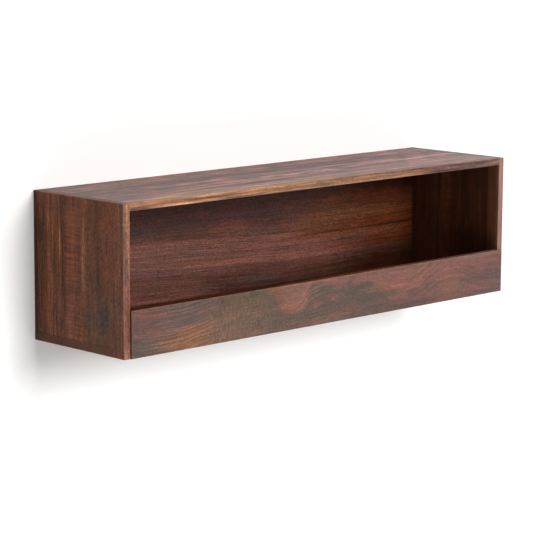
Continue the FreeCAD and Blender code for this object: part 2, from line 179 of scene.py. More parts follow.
@dataclass
class Graph:
    """A node tree with short calls for the nodes that the finishes use."""

    tree: bpy.types.NodeTree

    def add(self, kind: str, inputs: dict[int | str, Value], **settings: object) -> bpy.types.Node:
        """Add a node, set it and feed it.

        Args:
            kind: The node's type.
            inputs: For each input, by number or name, a constant or a socket to link.
            **settings: Properties of the node, set before its inputs.

        Returns:
            The node.
        """
        node = self.tree.nodes.new(kind)
        for name, setting in settings.items():
            setattr(node, name, setting)
        for name, value in inputs.items():
            if isinstance(value, Socket):
                self.tree.links.new(value, node.inputs[name])
            else:
                node.inputs[name].default_value = value
        return node

    def math(self, operation: str, first: Value, second: Value = 0.0, third: Value = 0.0) -> Socket:
        """One sum, product or other operation on numbers."""
        return self.add("ShaderNodeMath", {0: first, 1: second, 2: third}, operation=operation).outputs[0]

    def plus(self, first: Value, second: Value) -> Socket:
        """The sum of two numbers."""
        return self.math("ADD", first, second)

    def minus(self, first: Value, second: Value) -> Socket:
        """The first number less the second."""
        return self.math("SUBTRACT", first, second)

    def times(self, *factors: Value) -> Socket:
        """Several numbers multiplied together.

        Args:
            *factors: Constants or sockets, two or more.

        Returns:
            Their product.
        """
        result = factors[0]
        for factor in factors[1:]:
            result = self.math("MULTIPLY", result, factor)
        return result

    def over(self, first: Value, second: Value) -> Socket:
        """The first number divided by the second."""
        return self.math("DIVIDE", first, second)

    def scaled(self, value: Value, factor: Value, added: Value) -> Socket:
        """A number times a factor, with something added."""
        return self.math("MULTIPLY_ADD", value, factor, added)

    def ease(self, value: Value, start: Value, end: Value, low: Value = 0.0, high: Value = 1.0) -> Socket:
        """A smooth step from low to high as the value goes from start to end."""
        given = {0: value, 1: start, 2: end, 3: low, 4: high}
        return self.add("ShaderNodeMapRange", given, interpolation_type="SMOOTHSTEP").outputs[0]

    def centred(self, noise: Value) -> Socket:
        """A noise value less its middle."""
        return self.minus(noise, NOISE_MIDDLE)

    def spread(self, noise: Value, amount: Value) -> Socket:
        """Turn a noise value into a factor about 1, from 1 - amount to 1 + amount."""
        return self.scaled(self.centred(noise), self.times(amount, NOISE_CONTRAST), 1.0)

    def point(self, x: Value, y: Value, z: Value) -> Socket:
        """A vector from three numbers."""
        return self.add("ShaderNodeCombineXYZ", {0: x, 1: y, 2: z}).outputs[0]

    def noise(
        self, axes: tuple[Value, ...], sizes: tuple[Value, ...], seed: Value, detail: float = 2.0,
    ) -> Socket:
        """Noise whose blobs have the given sizes along each axis.

        Args:
            axes: Two or three coordinates in millimetres.
            sizes: The size of a blob along each of them.
            seed: Where in the noise this board is cut from.
            detail: How many finer layers are added.

        Returns:
            A value from 0 to 1, around 0.5.
        """
        places = [self.plus(self.over(axis, size), seed) for axis, size in zip(axes, sizes)]
        places += [seed] * (3 - len(places))
        given = {"Vector": self.point(*places), "Scale": 1.0, "Detail": detail}
        return self.add("ShaderNodeTexNoise", given).outputs[0]

    def mix(self, factor: Value, first: Value, second: Value, blend: str = "MIX") -> Socket:
        """Two colours mixed by a factor."""
        given = {0: factor, 6: first, 7: second}
        return self.add("ShaderNodeMix", given, data_type="RGBA", blend_type=blend).outputs[2]

    def tint(self, colour: Value, factor: Value) -> Socket:
        """A colour multiplied by a number or by another colour."""
        return self.mix(1.0, colour, factor, "MULTIPLY")

    def ramp(self, value: Value, stops: Stops) -> Socket:
        """Tones laid out along a coordinate.

        Args:
            value: The coordinate in millimetres.
            stops: Places in millimetres, in order, each with the tone there.

        Returns:
            The colour between the stops.
        """
        low, high = stops[0][0], stops[-1][0]
        share = self.over(self.minus(value, low), high - low)
        node = self.add("ShaderNodeValToRGB", {0: share})
        elements = node.color_ramp.elements
        elements[-1].position = 1.0
        elements[-1].color = stops[-1][1].linear
        elements[0].color = stops[0][1].linear
        for place, tone in stops[1:-1]:
            elements.new((place - low) / (high - low)).color = tone.linear
        return node.outputs[0]

    def curve(self, value: Value, points: Curve, top: float) -> Socket:
        """A smooth line through points, as a height over a coordinate.

        Args:
            value: The coordinate in millimetres.
            points: Places along the coordinate, in order, each with its height, from 0 to top.
            top: The largest height that the line may have.

        Returns:
            The line's height in millimetres.
        """
        low, high = points[0][0], points[-1][0]
        share = self.over(self.minus(value, low), high - low)
        node = self.add("ShaderNodeFloatCurve", {0: 1.0, 1: share})
        line = node.mapping.curves[0]
        for number, (place, tall) in enumerate(points):
            spot = ((place - low) / (high - low), tall / top)
            if number < 2:
                line.points[number].location = spot
            else:
                line.points.new(*spot)
        node.mapping.update()
        return self.times(node.outputs[0], top)


class Effect:
    """A pattern that several finishes share: one node group with named sockets, built once."""

    name = ""
    inputs: dict[str, float | tuple[float, ...]] = {}
    outputs: tuple[str, ...] = ()

    def pattern(self, graph: Graph, given: dict[str, Socket]) -> dict[str, Socket]:
        """Lay out the group's nodes.

        Args:
            graph: The group's own tree.
            given: The group's inputs by name.

        Returns:
            What each of the group's outputs takes.
        """
        raise NotImplementedError

    def group(self) -> bpy.types.NodeTree:
        """The node group, made the first time that it is asked for.

        Returns:
            The group's own tree.
        """
        found = bpy.data.node_groups.get(self.name)
        if found:
            return found
        tree = bpy.data.node_groups.new(self.name, "ShaderNodeTree")
        for name, default in self.inputs.items():
            kind = "NodeSocketVector" if isinstance(default, tuple) else "NodeSocketFloat"
            socket = tree.interface.new_socket(name=name, in_out="INPUT", socket_type=kind)
            socket.default_value = default
        for name in self.outputs:
            tree.interface.new_socket(name=name, in_out="OUTPUT", socket_type="NodeSocketFloat")
        entry = tree.nodes.new("NodeGroupInput")
        leave = tree.nodes.new("NodeGroupOutput")
        made = self.pattern(Graph(tree), {name: entry.outputs[name] for name in self.inputs})
        for name, socket in made.items():
            tree.links.new(socket, leave.inputs[name])
        return tree

    def place(self, graph: Graph, given: dict[str, Value]) -> dict[str, Socket]:
        """Put the group in a material with its own values.

        Args:
            graph: The material's tree.
            given: A constant or a socket for each input that isn't left at its default.

        Returns:
            The outputs by name.
        """
        node = graph.add("ShaderNodeGroup", given, node_tree=self.group())
        return {name: node.outputs[name] for name in self.outputs}


class Grain(Effect):
    """Straight grain: noise drawn out along the board, at several widths, bent by one slow wander."""

    name = "wood_grain"
    inputs = {
        "Along": 0.0, "Across": 0.0, "Through": 0.0, "Seed": 0.0, "Wander": 6.0, "Band Width": 16.0,
        "Streak Width": 3.2, "Streak Length": 150.0,
    }
    outputs = ("Shift", "Bands", "Streaks", "Mottle", "Fibres", "Flecks", "Pores")
    # Sizes of the layers' blobs along, across and through the board, in millimetres
    wander_blob = (230.0, 70.0, 70.0)
    mottle_blob = (42.0, 13.0, 13.0)
    fibre_blob = (34.0, 1.3, 1.3)
    fleck_blob = (4.6, 2.1, 2.1)
    pore_blob = (8.0, 0.75, 0.75)
    band_length = 380.0
    # How far from the seed a layer reads the noise, so that layers don't copy each other
    streak_step = 7.3
    mottle_step = 3.7
    fleck_step = 11.9
    # The noise at which a pore starts and that at which it is full
    pore_edge = (0.6, 0.72)

    def pattern(self, graph: Graph, given: dict[str, Socket]) -> dict[str, Socket]:
        """Each layer is noise at (along / long, across / wide, through / wide), read past the wander.

        Args:
            graph: The group's own tree.
            given: The group's inputs by name.

        Returns:
            The layers by name.
        """
        axes = (given["Along"], given["Across"], given["Through"])
        seed = given["Seed"]
        slow = graph.noise(axes, self.wander_blob, seed, detail=1.0)
        shift = graph.times(graph.centred(slow), given["Wander"], NOISE_SWING)
        across = graph.plus(given["Across"], shift)
        bent = (given["Along"], across, graph.plus(given["Through"], shift))
        wide = given["Band Width"]
        thin = given["Streak Width"]
        band = (self.band_length, wide, wide)
        streak = (given["Streak Length"], thin, thin)
        streak_seed, mottle_seed, fleck_seed = (
            graph.plus(seed, step) for step in (self.streak_step, self.mottle_step, self.fleck_step)
        )
        pores = graph.noise(bent, self.pore_blob, seed, detail=1.0)
        return {
            "Shift": shift,
            "Bands": graph.noise(bent, band, seed, detail=3.0),
            "Streaks": graph.noise(bent, streak, streak_seed, detail=3.0),
            "Mottle": graph.noise(bent, self.mottle_blob, mottle_seed, detail=3.0),
            "Fibres": graph.noise(bent, self.fibre_blob, seed),
            "Flecks": graph.noise(bent, self.fleck_blob, fleck_seed, detail=1.0),
            "Pores": graph.ease(pores, *self.pore_edge),
        }


class Curl(Effect):
    """Curly figure: short soft bars across the grain, stronger in some places than in others."""

    name = "curly_figure"
    inputs = {"Along": 0.0, "Across": 0.0, "Seed": 0.0, "Pitch": 2.8, "Reach": 40.0}
    outputs = ("Bars",)
    # How far the bars bend, and the size of a bend along and across the board, in millimetres
    bend_most = 6.0
    bend_blob = (60.0, 22.0)
    # The size of a stronger or weaker stretch, where its noise starts and ends, and the strength at each
    fade_blob = (52.0, 60.0)
    fade_step = 3.1
    fade_edge = (0.35, 0.62)
    fade_strength = (0.6, 1.3)

    def pattern(self, graph: Graph, given: dict[str, Socket]) -> dict[str, Socket]:
        """Bars are noise at (along / pitch, across / reach), slightly bent and faded by a slower noise.

        Args:
            graph: The group's own tree.
            given: The group's inputs by name.

        Returns:
            The bars, around 0.5.
        """
        axes = (given["Along"], given["Across"])
        seed = given["Seed"]
        bend = graph.centred(graph.noise(axes, self.bend_blob, seed, detail=1.0))
        place = graph.scaled(bend, self.bend_most, given["Along"])
        bars = graph.noise((place, given["Across"]), (given["Pitch"], given["Reach"]), seed, detail=1.0)
        fade = graph.noise(axes, self.fade_blob, graph.plus(seed, self.fade_step), detail=1.0)
        strength = graph.ease(fade, *self.fade_edge, *self.fade_strength)
        return {"Bars": graph.scaled(graph.centred(bars), strength, NOISE_MIDDLE)}


class Blotch(Effect):
    """A patch of another tone: an ellipse with a soft ragged rim."""

    name = "blotch"
    inputs = {
        "Along": 0.0, "Across": 0.0, "Centre Along": 0.0, "Centre Across": 0.0,
        "Half Length": 20.0, "Half Width": 10.0, "Ragged": 0.8, "Strength": 0.6,
    }
    outputs = ("Mask",)
    # The size of the rim's rags along and across the board, in millimetres
    rag_blob = (22.0, 5.0)
    # The distance from the centre, in half sizes, at which the patch ends and that within which it is full
    rim = (1.3, 0.3)

    def pattern(self, graph: Graph, given: dict[str, Socket]) -> dict[str, Socket]:
        """The distance from the centre in half sizes, roughened by noise, eased from 1 to 0.

        Args:
            graph: The group's own tree.
            given: The group's inputs by name.

        Returns:
            The mask, 0 outside the patch and its strength within.
        """
        away_along = graph.over(graph.minus(given["Along"], given["Centre Along"]), given["Half Length"])
        away_across = graph.over(graph.minus(given["Across"], given["Centre Across"]), given["Half Width"])
        square = graph.scaled(away_across, away_across, graph.times(away_along, away_along))
        here = (given["Along"], given["Across"])
        rags = graph.centred(graph.noise(here, self.rag_blob, given["Centre Along"], detail=3.0))
        rags = graph.times(rags, given["Ragged"], NOISE_SWING)
        distance = graph.plus(graph.math("SQRT", square), rags)
        return {"Mask": graph.times(graph.ease(distance, *self.rim), given["Strength"])}


class Arris(Effect):
    """Edges of a box: 1 on the line where two faces meet, fading over an uneven width."""

    name = "arris"
    inputs = {
        "X": 0.0, "Depth": 0.0, "Height": 0.0, "Low": (0.0, 0.0, 0.0), "High": (1.0, 1.0, 1.0), "Width": 1.6,
    }
    outputs = ("Mask",)
    # The size of a more or less rubbed and glinting stretch in millimetres, where its noise starts and ends,
    # and how far it widens the edge
    uneven_blob = (17.0, 17.0, 17.0)
    uneven_seed = 2.0
    uneven_edge = (0.3, 0.7)
    uneven_widening = (0.5, 1.5)

    def pattern(self, graph: Graph, given: dict[str, Socket]) -> dict[str, Socket]:
        """The second smallest distance to the box's three pairs of faces, which is zero on its edges.

        Args:
            graph: The group's own tree.
            given: The group's inputs by name.

        Returns:
            The mask, 1 on the edges.
        """
        here = (given["X"], given["Depth"], given["Height"])
        lows = graph.add("ShaderNodeSeparateXYZ", {0: given["Low"]}).outputs
        highs = graph.add("ShaderNodeSeparateXYZ", {0: given["High"]}).outputs
        gaps = []
        for place, low, high in zip(here, lows, highs):
            below = graph.math("ABSOLUTE", graph.minus(place, low))
            above = graph.math("ABSOLUTE", graph.minus(high, place))
            gaps.append(graph.math("MINIMUM", below, above))
        smaller = graph.math("MINIMUM", gaps[0], gaps[1])
        larger = graph.math("MAXIMUM", gaps[0], gaps[1])
        second = graph.math("MAXIMUM", smaller, graph.math("MINIMUM", larger, gaps[2]))
        uneven = graph.noise(here, self.uneven_blob, self.uneven_seed, detail=3.0)
        width = graph.times(given["Width"], graph.ease(uneven, *self.uneven_edge, *self.uneven_widening))
        return {"Mask": graph.ease(second, width, 0.0)}

    def mask(
        self, graph: Graph, axes: tuple[Socket, ...], low: tuple[float, ...], high: tuple[float, ...],
    ) -> Socket:
        """The mask for one box in a material.

        Args:
            graph: The material's tree.
            axes: The coordinates in millimetres.
            low: The box's lowest corner.
            high: Its highest corner.

        Returns:
            1 on the box's edges, 0 away from them.
        """
        here = dict(zip(("X", "Depth", "Height"), axes))
        return self.place(graph, {**here, "Low": low, "High": high})["Mask"]


GRAIN = Grain()
CURL = Curl()
BLOTCH = Blotch()
ARRIS = Arris()


@dataclass(frozen=True)
class Patch:
    """One blotch of another tone on a board, mostly the wood's own, on the back and the lip also painted
    shade and highlight: its place and half sizes in millimetres.
    """

    tone: Tone
    along: float
    across: float
    half_length: float
    half_width: float
    strength: float = 0.6
    ragged: float = 0.8

    def lay(self, graph: Graph, along: Value, across: Value, colour: Socket) -> Socket:
        """Mix the patch into a board's colour.

        Args:
            graph: The material's tree.
            along: The place along the board in millimetres.
            across: The place across it in millimetres.
            colour: The board's colour there.

        Returns:
            The colour with the patch in it.
        """
        mask = BLOTCH.place(graph, {
            "Along": along, "Across": across, "Centre Along": self.along, "Centre Across": self.across,
            "Half Length": self.half_length, "Half Width": self.half_width,
            "Ragged": self.ragged, "Strength": self.strength,
        })["Mask"]
        return graph.mix(mask, colour, self.tone.linear)


def blank_material(name: str) -> tuple[bpy.types.Material, Graph]:
    """A new material with an empty node tree.

    Args:
        name: The material's name.

    Returns:
        The material, and its tree to build in.
    """
    material = bpy.data.materials.new(name)
    material.use_nodes = True
    material.node_tree.nodes.clear()
    return material, Graph(material.node_tree)


def maker_axes(graph: Graph) -> tuple[Socket, Socket, Socket]:
    """Object coordinates as x, depth and height in millimetres.

    Args:
        graph: The material's tree.

    Returns:
        The three coordinates.
    """
    place = graph.add("ShaderNodeTexCoord", {}).outputs["Object"]
    axes = graph.add("ShaderNodeSeparateXYZ", {0: place}).outputs
    x = graph.times(axes[0], PER_METRE)
    depth = graph.times(axes[1], -PER_METRE)
    height = graph.scaled(axes[2], PER_METRE, TALL / 2)
    return x, depth, height


def give_surface(
    graph: Graph, relief: Socket, strength: float, depth: float, inputs: dict[str, Value],
) -> None:
    """Give a material its surface, embossed by a relief.

    Args:
        graph: The material's tree.
        relief: The height of the relief, as a share of its depth.
        strength: How much of the relief shows.
        depth: The relief's depth in metres.
        inputs: Constants and sockets for the surface's other inputs, by name.
    """
    bump = graph.add("ShaderNodeBump", {"Height": relief, "Strength": strength, "Distance": depth})
    surface = graph.add("ShaderNodeBsdfPrincipled", {**inputs, "Normal": bump.outputs[0]})
    graph.add("ShaderNodeOutputMaterial", {"Surface": surface.outputs[0]})


@dataclass(frozen=True)
class WoodFinish:
    """Oiled hardwood of one board.

    The tones lie across the board, bent by the grain's wander. Patches come over them, and bands, streaks,
    fibres, flecks, pores, curl, glue lines, pale rubbed arrises with a painted glint and end grain change
    how light or dark they are.
    """

    name: str
    lie: Lie
    seed: float
    tones: Stops
    patches: tuple[Patch, ...] = ()
    # How strongly each layer of the figure lightens and darkens the board
    bands: float = 0.14
    streaks: float = 0.24
    mottle: float = 0.14
    fibres: float = 0.24
    flecks: float = 0.14
    pores: float = 0.4
    curl: float = 0.0
    # The figure's sizes in millimetres, and how far it wanders sideways
    band_width: float = 16.0
    streak_width: float = 3.2
    streak_length: float = 150.0
    curl_reach: float = 40.0
    wander: float = 6.0
    # How far the grain falls in each millimetre along the board, and where it stops falling
    drift: float = 0.0
    drift_end: float = 100.0
    # The noise at which bands are cool and warm, how far mottle turns grey and pink, and a factor over all
    # that sets the board's tone and partly paints in the sheen that the key lamp doesn't give
    cool_to_warm: tuple[float, float] = (0.35, 0.65)
    blush: float = 2.0
    tone_and_sheen_cast: tuple[float, float, float] = (1.0, 1.0, 1.0)
    # The sheen, and how much rougher streaks and pores are
    roughness: float = 0.45
    streak_rough: float = 0.16
    pore_rough: float = 0.2
    gloss: float = 0.35
    ior: float = 1.48
    # The relief: how much of it shows, its depth in metres, and the shares of fibres and pores
    relief: float = 0.35
    relief_depth: float = 0.0004
    fibre_relief: float = 0.5
    pore_relief: float = 0.8
    # Pale arrises, rubbed and partly a painted glint of light, and how far behind the front those of the
    # opening start and are full, in millimetres
    wear_and_glint: float = 0.5
    rim_fade: tuple[float, float] = (3.0, 1.0)
    # End grain's shade, and how squarely a surface cuts the grain where it starts and where it is full
    end_grain: float = 0.75
    end_facing: tuple[float, float] = (0.5, 0.9)
    # Glue lines: their width and shade, how near the outer box an edge has none, and a place far from any
    joint_width: float = 0.9
    joint_shade: float = 0.55
    flush: float = 0.6
    far: float = 1000.0

    def sloped(self, graph: Graph, along: Socket, across: Socket) -> Socket:
        """The place across the board, read so that the grain falls along it and then runs level.

        Args:
            graph: The material's tree.
            along: The place along the board in millimetres.
            across: The place across it in millimetres.

        Returns:
            The place across the board at which the grain is read.
        """
        if not self.drift:
            return across
        return graph.scaled(graph.math("MINIMUM", along, self.drift_end), self.drift, across)

    def base(self, graph: Graph, along: Socket, across: Socket, shift: Socket) -> Socket:
        """The board's broad colours, before its figure.

        Args:
            graph: The material's tree.
            along: The place along the board in millimetres.
            across: The place across it in millimetres.
            shift: How far the grain wanders there.

        Returns:
            The colour there.
        """
        return graph.ramp(graph.plus(across, shift), self.tones)

    def joints(self, graph: Graph, axes: tuple[Socket, ...], node: str) -> Socket:
        """Dark hairlines where this board meets others.

        Args:
            graph: The material's tree.
            axes: The coordinates in millimetres.
            node: The board's node.

        Returns:
            A factor, below 1 near those of the board's edges that lie inside the shelf's outer box.
        """
        low, high = maker_box(node)
        gap = self.far
        for side in self.lie.value[:2]:
            if abs(low[side] - OUTER_LOW[side]) > self.flush:
                gap = graph.math("MINIMUM", gap, graph.minus(axes[side], low[side]))
            if abs(high[side] - OUTER_HIGH[side]) > self.flush:
                gap = graph.math("MINIMUM", gap, graph.minus(high[side], axes[side]))
        return graph.ease(gap, 0.0, self.joint_width, self.joint_shade, 1.0)

    def worn_and_glinting(self, graph: Graph, axes: tuple[Socket, ...], node: str) -> Socket:
        """The arrises of the whole box, and those round its open front.

        Args:
            graph: The material's tree.
            axes: The coordinates in millimetres.
            node: The board's node.

        Returns:
            A mask, 1 where the wood is worn.
        """
        outer = ARRIS.mask(graph, axes, OUTER_LOW, OUTER_HIGH)
        inner = ARRIS.mask(graph, axes, OPENING_LOW, OPENING_HIGH)
        front = graph.ease(axes[1], *(FRONT_DEPTH - fade for fade in self.rim_fade))
        return graph.math("MAXIMUM", outer, graph.times(inner, front))

    def material(self, node: str) -> bpy.types.Material:
        """Build the material for a CAD node.

        Args:
            node: The board's node, whose box gives its edges.

        Returns:
            The material.
        """
        material, graph = blank_material(self.name)
        axes = maker_axes(graph)
        along, across, through = (axes[number] for number in self.lie.value)
        sloping = self.sloped(graph, along, across)
        grain = GRAIN.place(graph, {
            "Along": along, "Across": sloping, "Through": through, "Seed": self.seed, "Wander": self.wander,
            "Band Width": self.band_width, "Streak Width": self.streak_width,
            "Streak Length": self.streak_length,
        })
        colour = self.base(graph, along, sloping, grain["Shift"])
        for patch in self.patches:
            colour = patch.lay(graph, along, across, colour)
        warm = graph.ease(grain["Bands"], *self.cool_to_warm)
        colour = graph.tint(colour, graph.mix(warm, COOL_TINT, WARM_TINT))
        pink = graph.scaled(graph.centred(grain["Mottle"]), self.blush, NOISE_MIDDLE)
        colour = graph.tint(colour, graph.mix(pink, GREY_TINT, PINK_TINT))
        # A factor over the colour: the board's tone, and partly a painted sheen in place of the key lamp's
        # reflection
        colour = graph.tint(colour, (*self.tone_and_sheen_cast, 1.0))

        shade = graph.times(
            graph.spread(grain["Bands"], self.bands),
            graph.spread(grain["Streaks"], self.streaks),
            graph.spread(grain["Mottle"], self.mottle),
            graph.spread(grain["Fibres"], self.fibres),
            graph.spread(grain["Flecks"], self.flecks),
            graph.scaled(grain["Pores"], -self.pores, 1.0),
            self.joints(graph, axes, node),
        )
        if self.curl:
            given = {"Along": along, "Across": across, "Seed": self.seed, "Reach": self.curl_reach}
            bars = CURL.place(graph, given)["Bars"]
            shade = graph.times(shade, graph.spread(bars, self.curl_at(graph, along)))
        shade = graph.times(shade, self.end_factor(graph))
        colour = graph.tint(colour, shade)

        # Pale arrises: rubbed wood, and a painted glint where light catches the rounded edges
        edges = self.worn_and_glinting(graph, axes, node)
        colour = graph.mix(graph.times(edges, self.wear_and_glint), colour, Tone.WORN_GLINT.linear)

        rough = graph.scaled(grain["Streaks"], self.streak_rough, self.roughness - self.streak_rough / 2)
        rough = graph.scaled(grain["Pores"], self.pore_rough, rough)
        ridges = graph.times(grain["Fibres"], self.fibre_relief)
        relief = graph.scaled(grain["Pores"], -self.pore_relief, ridges)
        give_surface(graph, relief, self.relief, self.relief_depth, {
            "Base Color": colour, "Roughness": rough, "IOR": self.ior, "Specular IOR Level": self.gloss,
        })
        return material

    def curl_at(self, graph: Graph, along: Socket) -> Value:
        """How strong the curl is along the board."""
        return self.curl

    def end_factor(self, graph: Graph) -> Socket:
        """Darker where the surface cuts across the grain.

        Args:
            graph: The material's tree.

        Returns:
            A factor, 1 where the grain runs level.
        """
        normal = graph.add("ShaderNodeNewGeometry", {}).outputs["Normal"]
        facing = graph.add("ShaderNodeSeparateXYZ", {0: normal}).outputs[self.lie.value[0]]
        return graph.ease(graph.math("ABSOLUTE", facing), *self.end_facing, 1.0, self.end_grain)


def maker_box(node: str) -> tuple[tuple[float, ...], tuple[float, ...]]:
    """A node's box as x, depth and height in millimetres.

    Args:
        node: The node's name.

    Returns:
        Its lowest and highest corner.
    """
    low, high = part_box(node)
    bottom = CAD_BOX[0].z
    lowest = (low.x * PER_METRE, -high.y * PER_METRE, (low.z - bottom) * PER_METRE)
    highest = (high.x * PER_METRE, -low.y * PER_METRE, (high.z - bottom) * PER_METRE)
    return lowest, highest


# The box without its lip, and its open front, as x, depth and height in millimetres
TOP_LOW, TOP_HIGH = maker_box("top_front_stave")
FRONT_DEPTH = TOP_HIGH[1]
OUTER_LOW = (-HALF_LENGTH, 0.0, 0.0)
OUTER_HIGH = (HALF_LENGTH, FRONT_DEPTH, TALL)
OPENING_LOW = (TOP_LOW[0], -FRONT_DEPTH, maker_box("bottom_front_stave")[1][2])
OPENING_HIGH = (TOP_HIGH[0], FRONT_DEPTH, TOP_LOW[2])


@dataclass(frozen=True)
class SappyFinish(WoodFinish):
    """A board with a pale strip of sapwood along its front, whose inner rim wanders.

    The lower half of its front edge is darker, except near the left end.
    """

    _: KW_ONLY
    # How far back the sapwood reaches along the board, in millimetres, and its tones
    sapwood: Curve
    sap_tones: Stops
    # The most that the line may reach, and how much too far it is drawn, so that it can end at the front
    sap_limit: float = 45.0
    sap_rise: float = 6.0
    # How far the rim ripples, the size of a ripple along and across the board, and the rim's softness
    ripple: float = 7.0
    ripple_blob: tuple[float, float] = (28.0, 9.0)
    rim_softness: float = 2.5
    # The edge's shade, and where along the board and how far below the top it starts and is full
    edge_shade: float = 0.2
    shade_along: tuple[float, float] = (-290.0, -130.0)
    shade_drop: tuple[float, float] = (4.0, 9.0)

    def base(self, graph: Graph, along: Socket, across: Socket, shift: Socket) -> Socket:
        """Sapwood where the depth behind the front is less than the rim's line, and the tones elsewhere.

        Args:
            graph: The material's tree.
            along: The place along the board in millimetres.
            across: The place across it in millimetres.
            shift: How far the grain wanders there.

        Returns:
            The colour there.
        """
        heart = super().base(graph, along, across, shift)
        behind = graph.minus(FRONT_DEPTH, across)
        line = graph.minus(graph.curve(along, self.sapwood, self.sap_limit), self.sap_rise)
        ripple = graph.centred(graph.noise((along, across), self.ripple_blob, self.seed))
        line = graph.plus(line, graph.times(ripple, self.ripple))
        mask = graph.ease(graph.minus(behind, line), self.rim_softness, -self.rim_softness)
        return graph.mix(mask, heart, graph.ramp(along, self.sap_tones))

    def joints(self, graph: Graph, axes: tuple[Socket, ...], node: str) -> Socket:
        """The glue lines, times the shade of the edge's lower half.

        Args:
            graph: The material's tree.
            axes: The coordinates in millimetres.
            node: The board's node.

        Returns:
            A factor, below 1 at the glue lines and on the edge's lower half.
        """
        away = graph.ease(axes[0], *self.shade_along)
        low = graph.ease(axes[2], *(TALL - drop for drop in self.shade_drop))
        shade = graph.scaled(graph.times(away, low), -self.edge_shade, 1.0)
        return graph.times(super().joints(graph, axes, node), shade)


@dataclass(frozen=True)
class FlameFinish(WoodFinish):
    """A board cut through a crotch: its figure lines follow one wandering line along the board."""

    _: KW_ONLY
    # The crest's height along the board, and how strong, how close and how curly the lines are there
    crest: Curve
    lines: Curve
    density: Curve
    bars: Curve
    # Tones along the board above and below the crest, and on the top edge, painted darker as shade at the
    # left end and partly lighter as highlight to the right
    above: Stops
    below: Stops
    top_edge_shade_and_highlight: Stops
    # The height of the top edge and of the highest crest in millimetres, and how softly the top edge starts
    top_height: float = 75.4
    crest_limit: float = 80.0
    top_softness: float = 0.3
    # How far the crest is torn, how softly, and the size of a tear along and across the board
    torn: float = 46.0
    torn_softness: float = 11.0
    torn_blob: tuple[float, float] = (38.0, 20.0)
    # The lines: how far tears move them, their distance, length and depth, and how unevenly they are spaced
    waver: float = 11.0
    line_pitch: float = 6.4
    line_length: float = 420.0
    line_depth: float = 0.27
    line_drift: float = 1.2

    def base(self, graph: Graph, along: Socket, across: Socket, shift: Socket) -> Socket:
        """Two rows of tones above and below a torn crest, lines that run beside it, and a top edge without
        figure, painted in shade at its left end and partly in highlight to the right.

        Args:
            graph: The material's tree.
            along: The place along the board in millimetres.
            across: The place across it in millimetres.
            shift: How far the grain wanders there.

        Returns:
            The colour there.
        """
        level = graph.minus(across, graph.curve(along, self.crest, self.crest_limit))
        rough = graph.centred(graph.noise((along, across), self.torn_blob, self.seed, detail=3.0))
        mask = graph.ease(graph.scaled(rough, self.torn, level), -self.torn_softness, self.torn_softness)
        colour = graph.mix(mask, graph.ramp(along, self.below), graph.ramp(along, self.above))
        level = graph.scaled(rough, self.waver, level)
        level = graph.times(level, graph.curve(along, self.density, 1.0))
        blob = (self.line_length, self.line_pitch / 2)
        rings = graph.noise((along, level), blob, self.seed, detail=1.0)
        turns = graph.scaled(rings, self.line_drift, graph.over(level, self.line_pitch))
        wave = graph.math("SINE", graph.times(turns, 2 * math.pi))
        strength = graph.times(graph.curve(along, self.lines, 1.0), self.line_depth)
        lines = graph.times(graph.scaled(wave, strength, 1.0), graph.spread(rings, strength))
        figured = graph.tint(colour, lines)
        on_top = graph.ease(across, self.top_height - self.top_softness, self.top_height + self.top_softness)
        return graph.mix(on_top, figured, graph.ramp(along, self.top_edge_shade_and_highlight))

    def joints(self, graph: Graph, axes: tuple[Socket, ...], node: str) -> Socket:
        """Only the ends meet the sides.

        Args:
            graph: The material's tree.
            axes: The coordinates in millimetres.
            node: The board's node.

        Returns:
            A factor, below 1 at the board's two ends.
        """
        low, high = maker_box(node)
        left = graph.minus(axes[0], low[0])
        right = graph.minus(high[0], axes[0])
        return graph.ease(graph.math("MINIMUM", left, right), 0.0, self.joint_width, self.joint_shade, 1.0)

    def curl_at(self, graph: Graph, along: Socket) -> Value:
        """The curl follows its own line along the board."""
        return graph.times(graph.curve(along, self.bars, 1.0), self.curl)

    def worn_and_glinting(self, graph: Graph, axes: tuple[Socket, ...], node: str) -> Socket:
        """The arrises of the board itself, which stands proud of the box.

        Args:
            graph: The material's tree.
            axes: The coordinates in millimetres.
            node: The board's node.

        Returns:
            A mask, 1 on the rubbed arrises, which also get a painted glint.
        """
        low, high = maker_box(node)
        return ARRIS.mask(graph, axes, low, high)


class SteelKind(Enum):
    """The two steels of the fittings, with their screen colour and roughness."""

    PLATE = ((172, 170, 166), 0.34)
    SCREW = ((186, 180, 166), 0.28)


@dataclass(frozen=True)
class SteelFinish:
    """Zinc-plated steel with fine brushed lines."""

    name: str
    kind: SteelKind
    # How its screen colour turns into light
    screen_power: float = 2.2
    # Brushed lines: their sizes along x, depth and height in millimetres, contrast and roughness
    line_blob: tuple[float, float, float] = (14.0, 0.25, 0.25)
    line_seed: float = 1.0
    line_contrast: float = 0.06
    line_rough: float = 0.18
    # Clouds in the plating
    cloud_blob: tuple[float, float, float] = (5.0, 5.0, 5.0)
    cloud_seed: float = 4.0
    cloud_contrast: float = 0.07
    # How much of the lines' relief shows, and its depth in metres
    relief: float = 0.2
    relief_depth: float = 0.00005

    def material(self) -> bpy.types.Material:
        """Build the material: noise drawn out along x scratches the colour, the roughness and the relief.

        Returns:
            The material.
        """
        material, graph = blank_material(self.name)
        axes = maker_axes(graph)
        screen, roughness = self.kind.value
        lines = graph.noise(axes, self.line_blob, self.line_seed)
        cloud = graph.noise(axes, self.cloud_blob, self.cloud_seed)
        light = (*((np.array(screen) / SCREEN_FULL) ** self.screen_power).tolist(), 1.0)
        shade = graph.spread(lines, self.line_contrast)
        shade = graph.times(shade, graph.spread(cloud, self.cloud_contrast))
        rough = graph.scaled(lines, self.line_rough, roughness - self.line_rough / 2)
        give_surface(graph, lines, self.relief, self.relief_depth, {
            "Base Color": graph.tint(light, shade), "Roughness": rough, "Metallic": 1.0,
        })
        return material


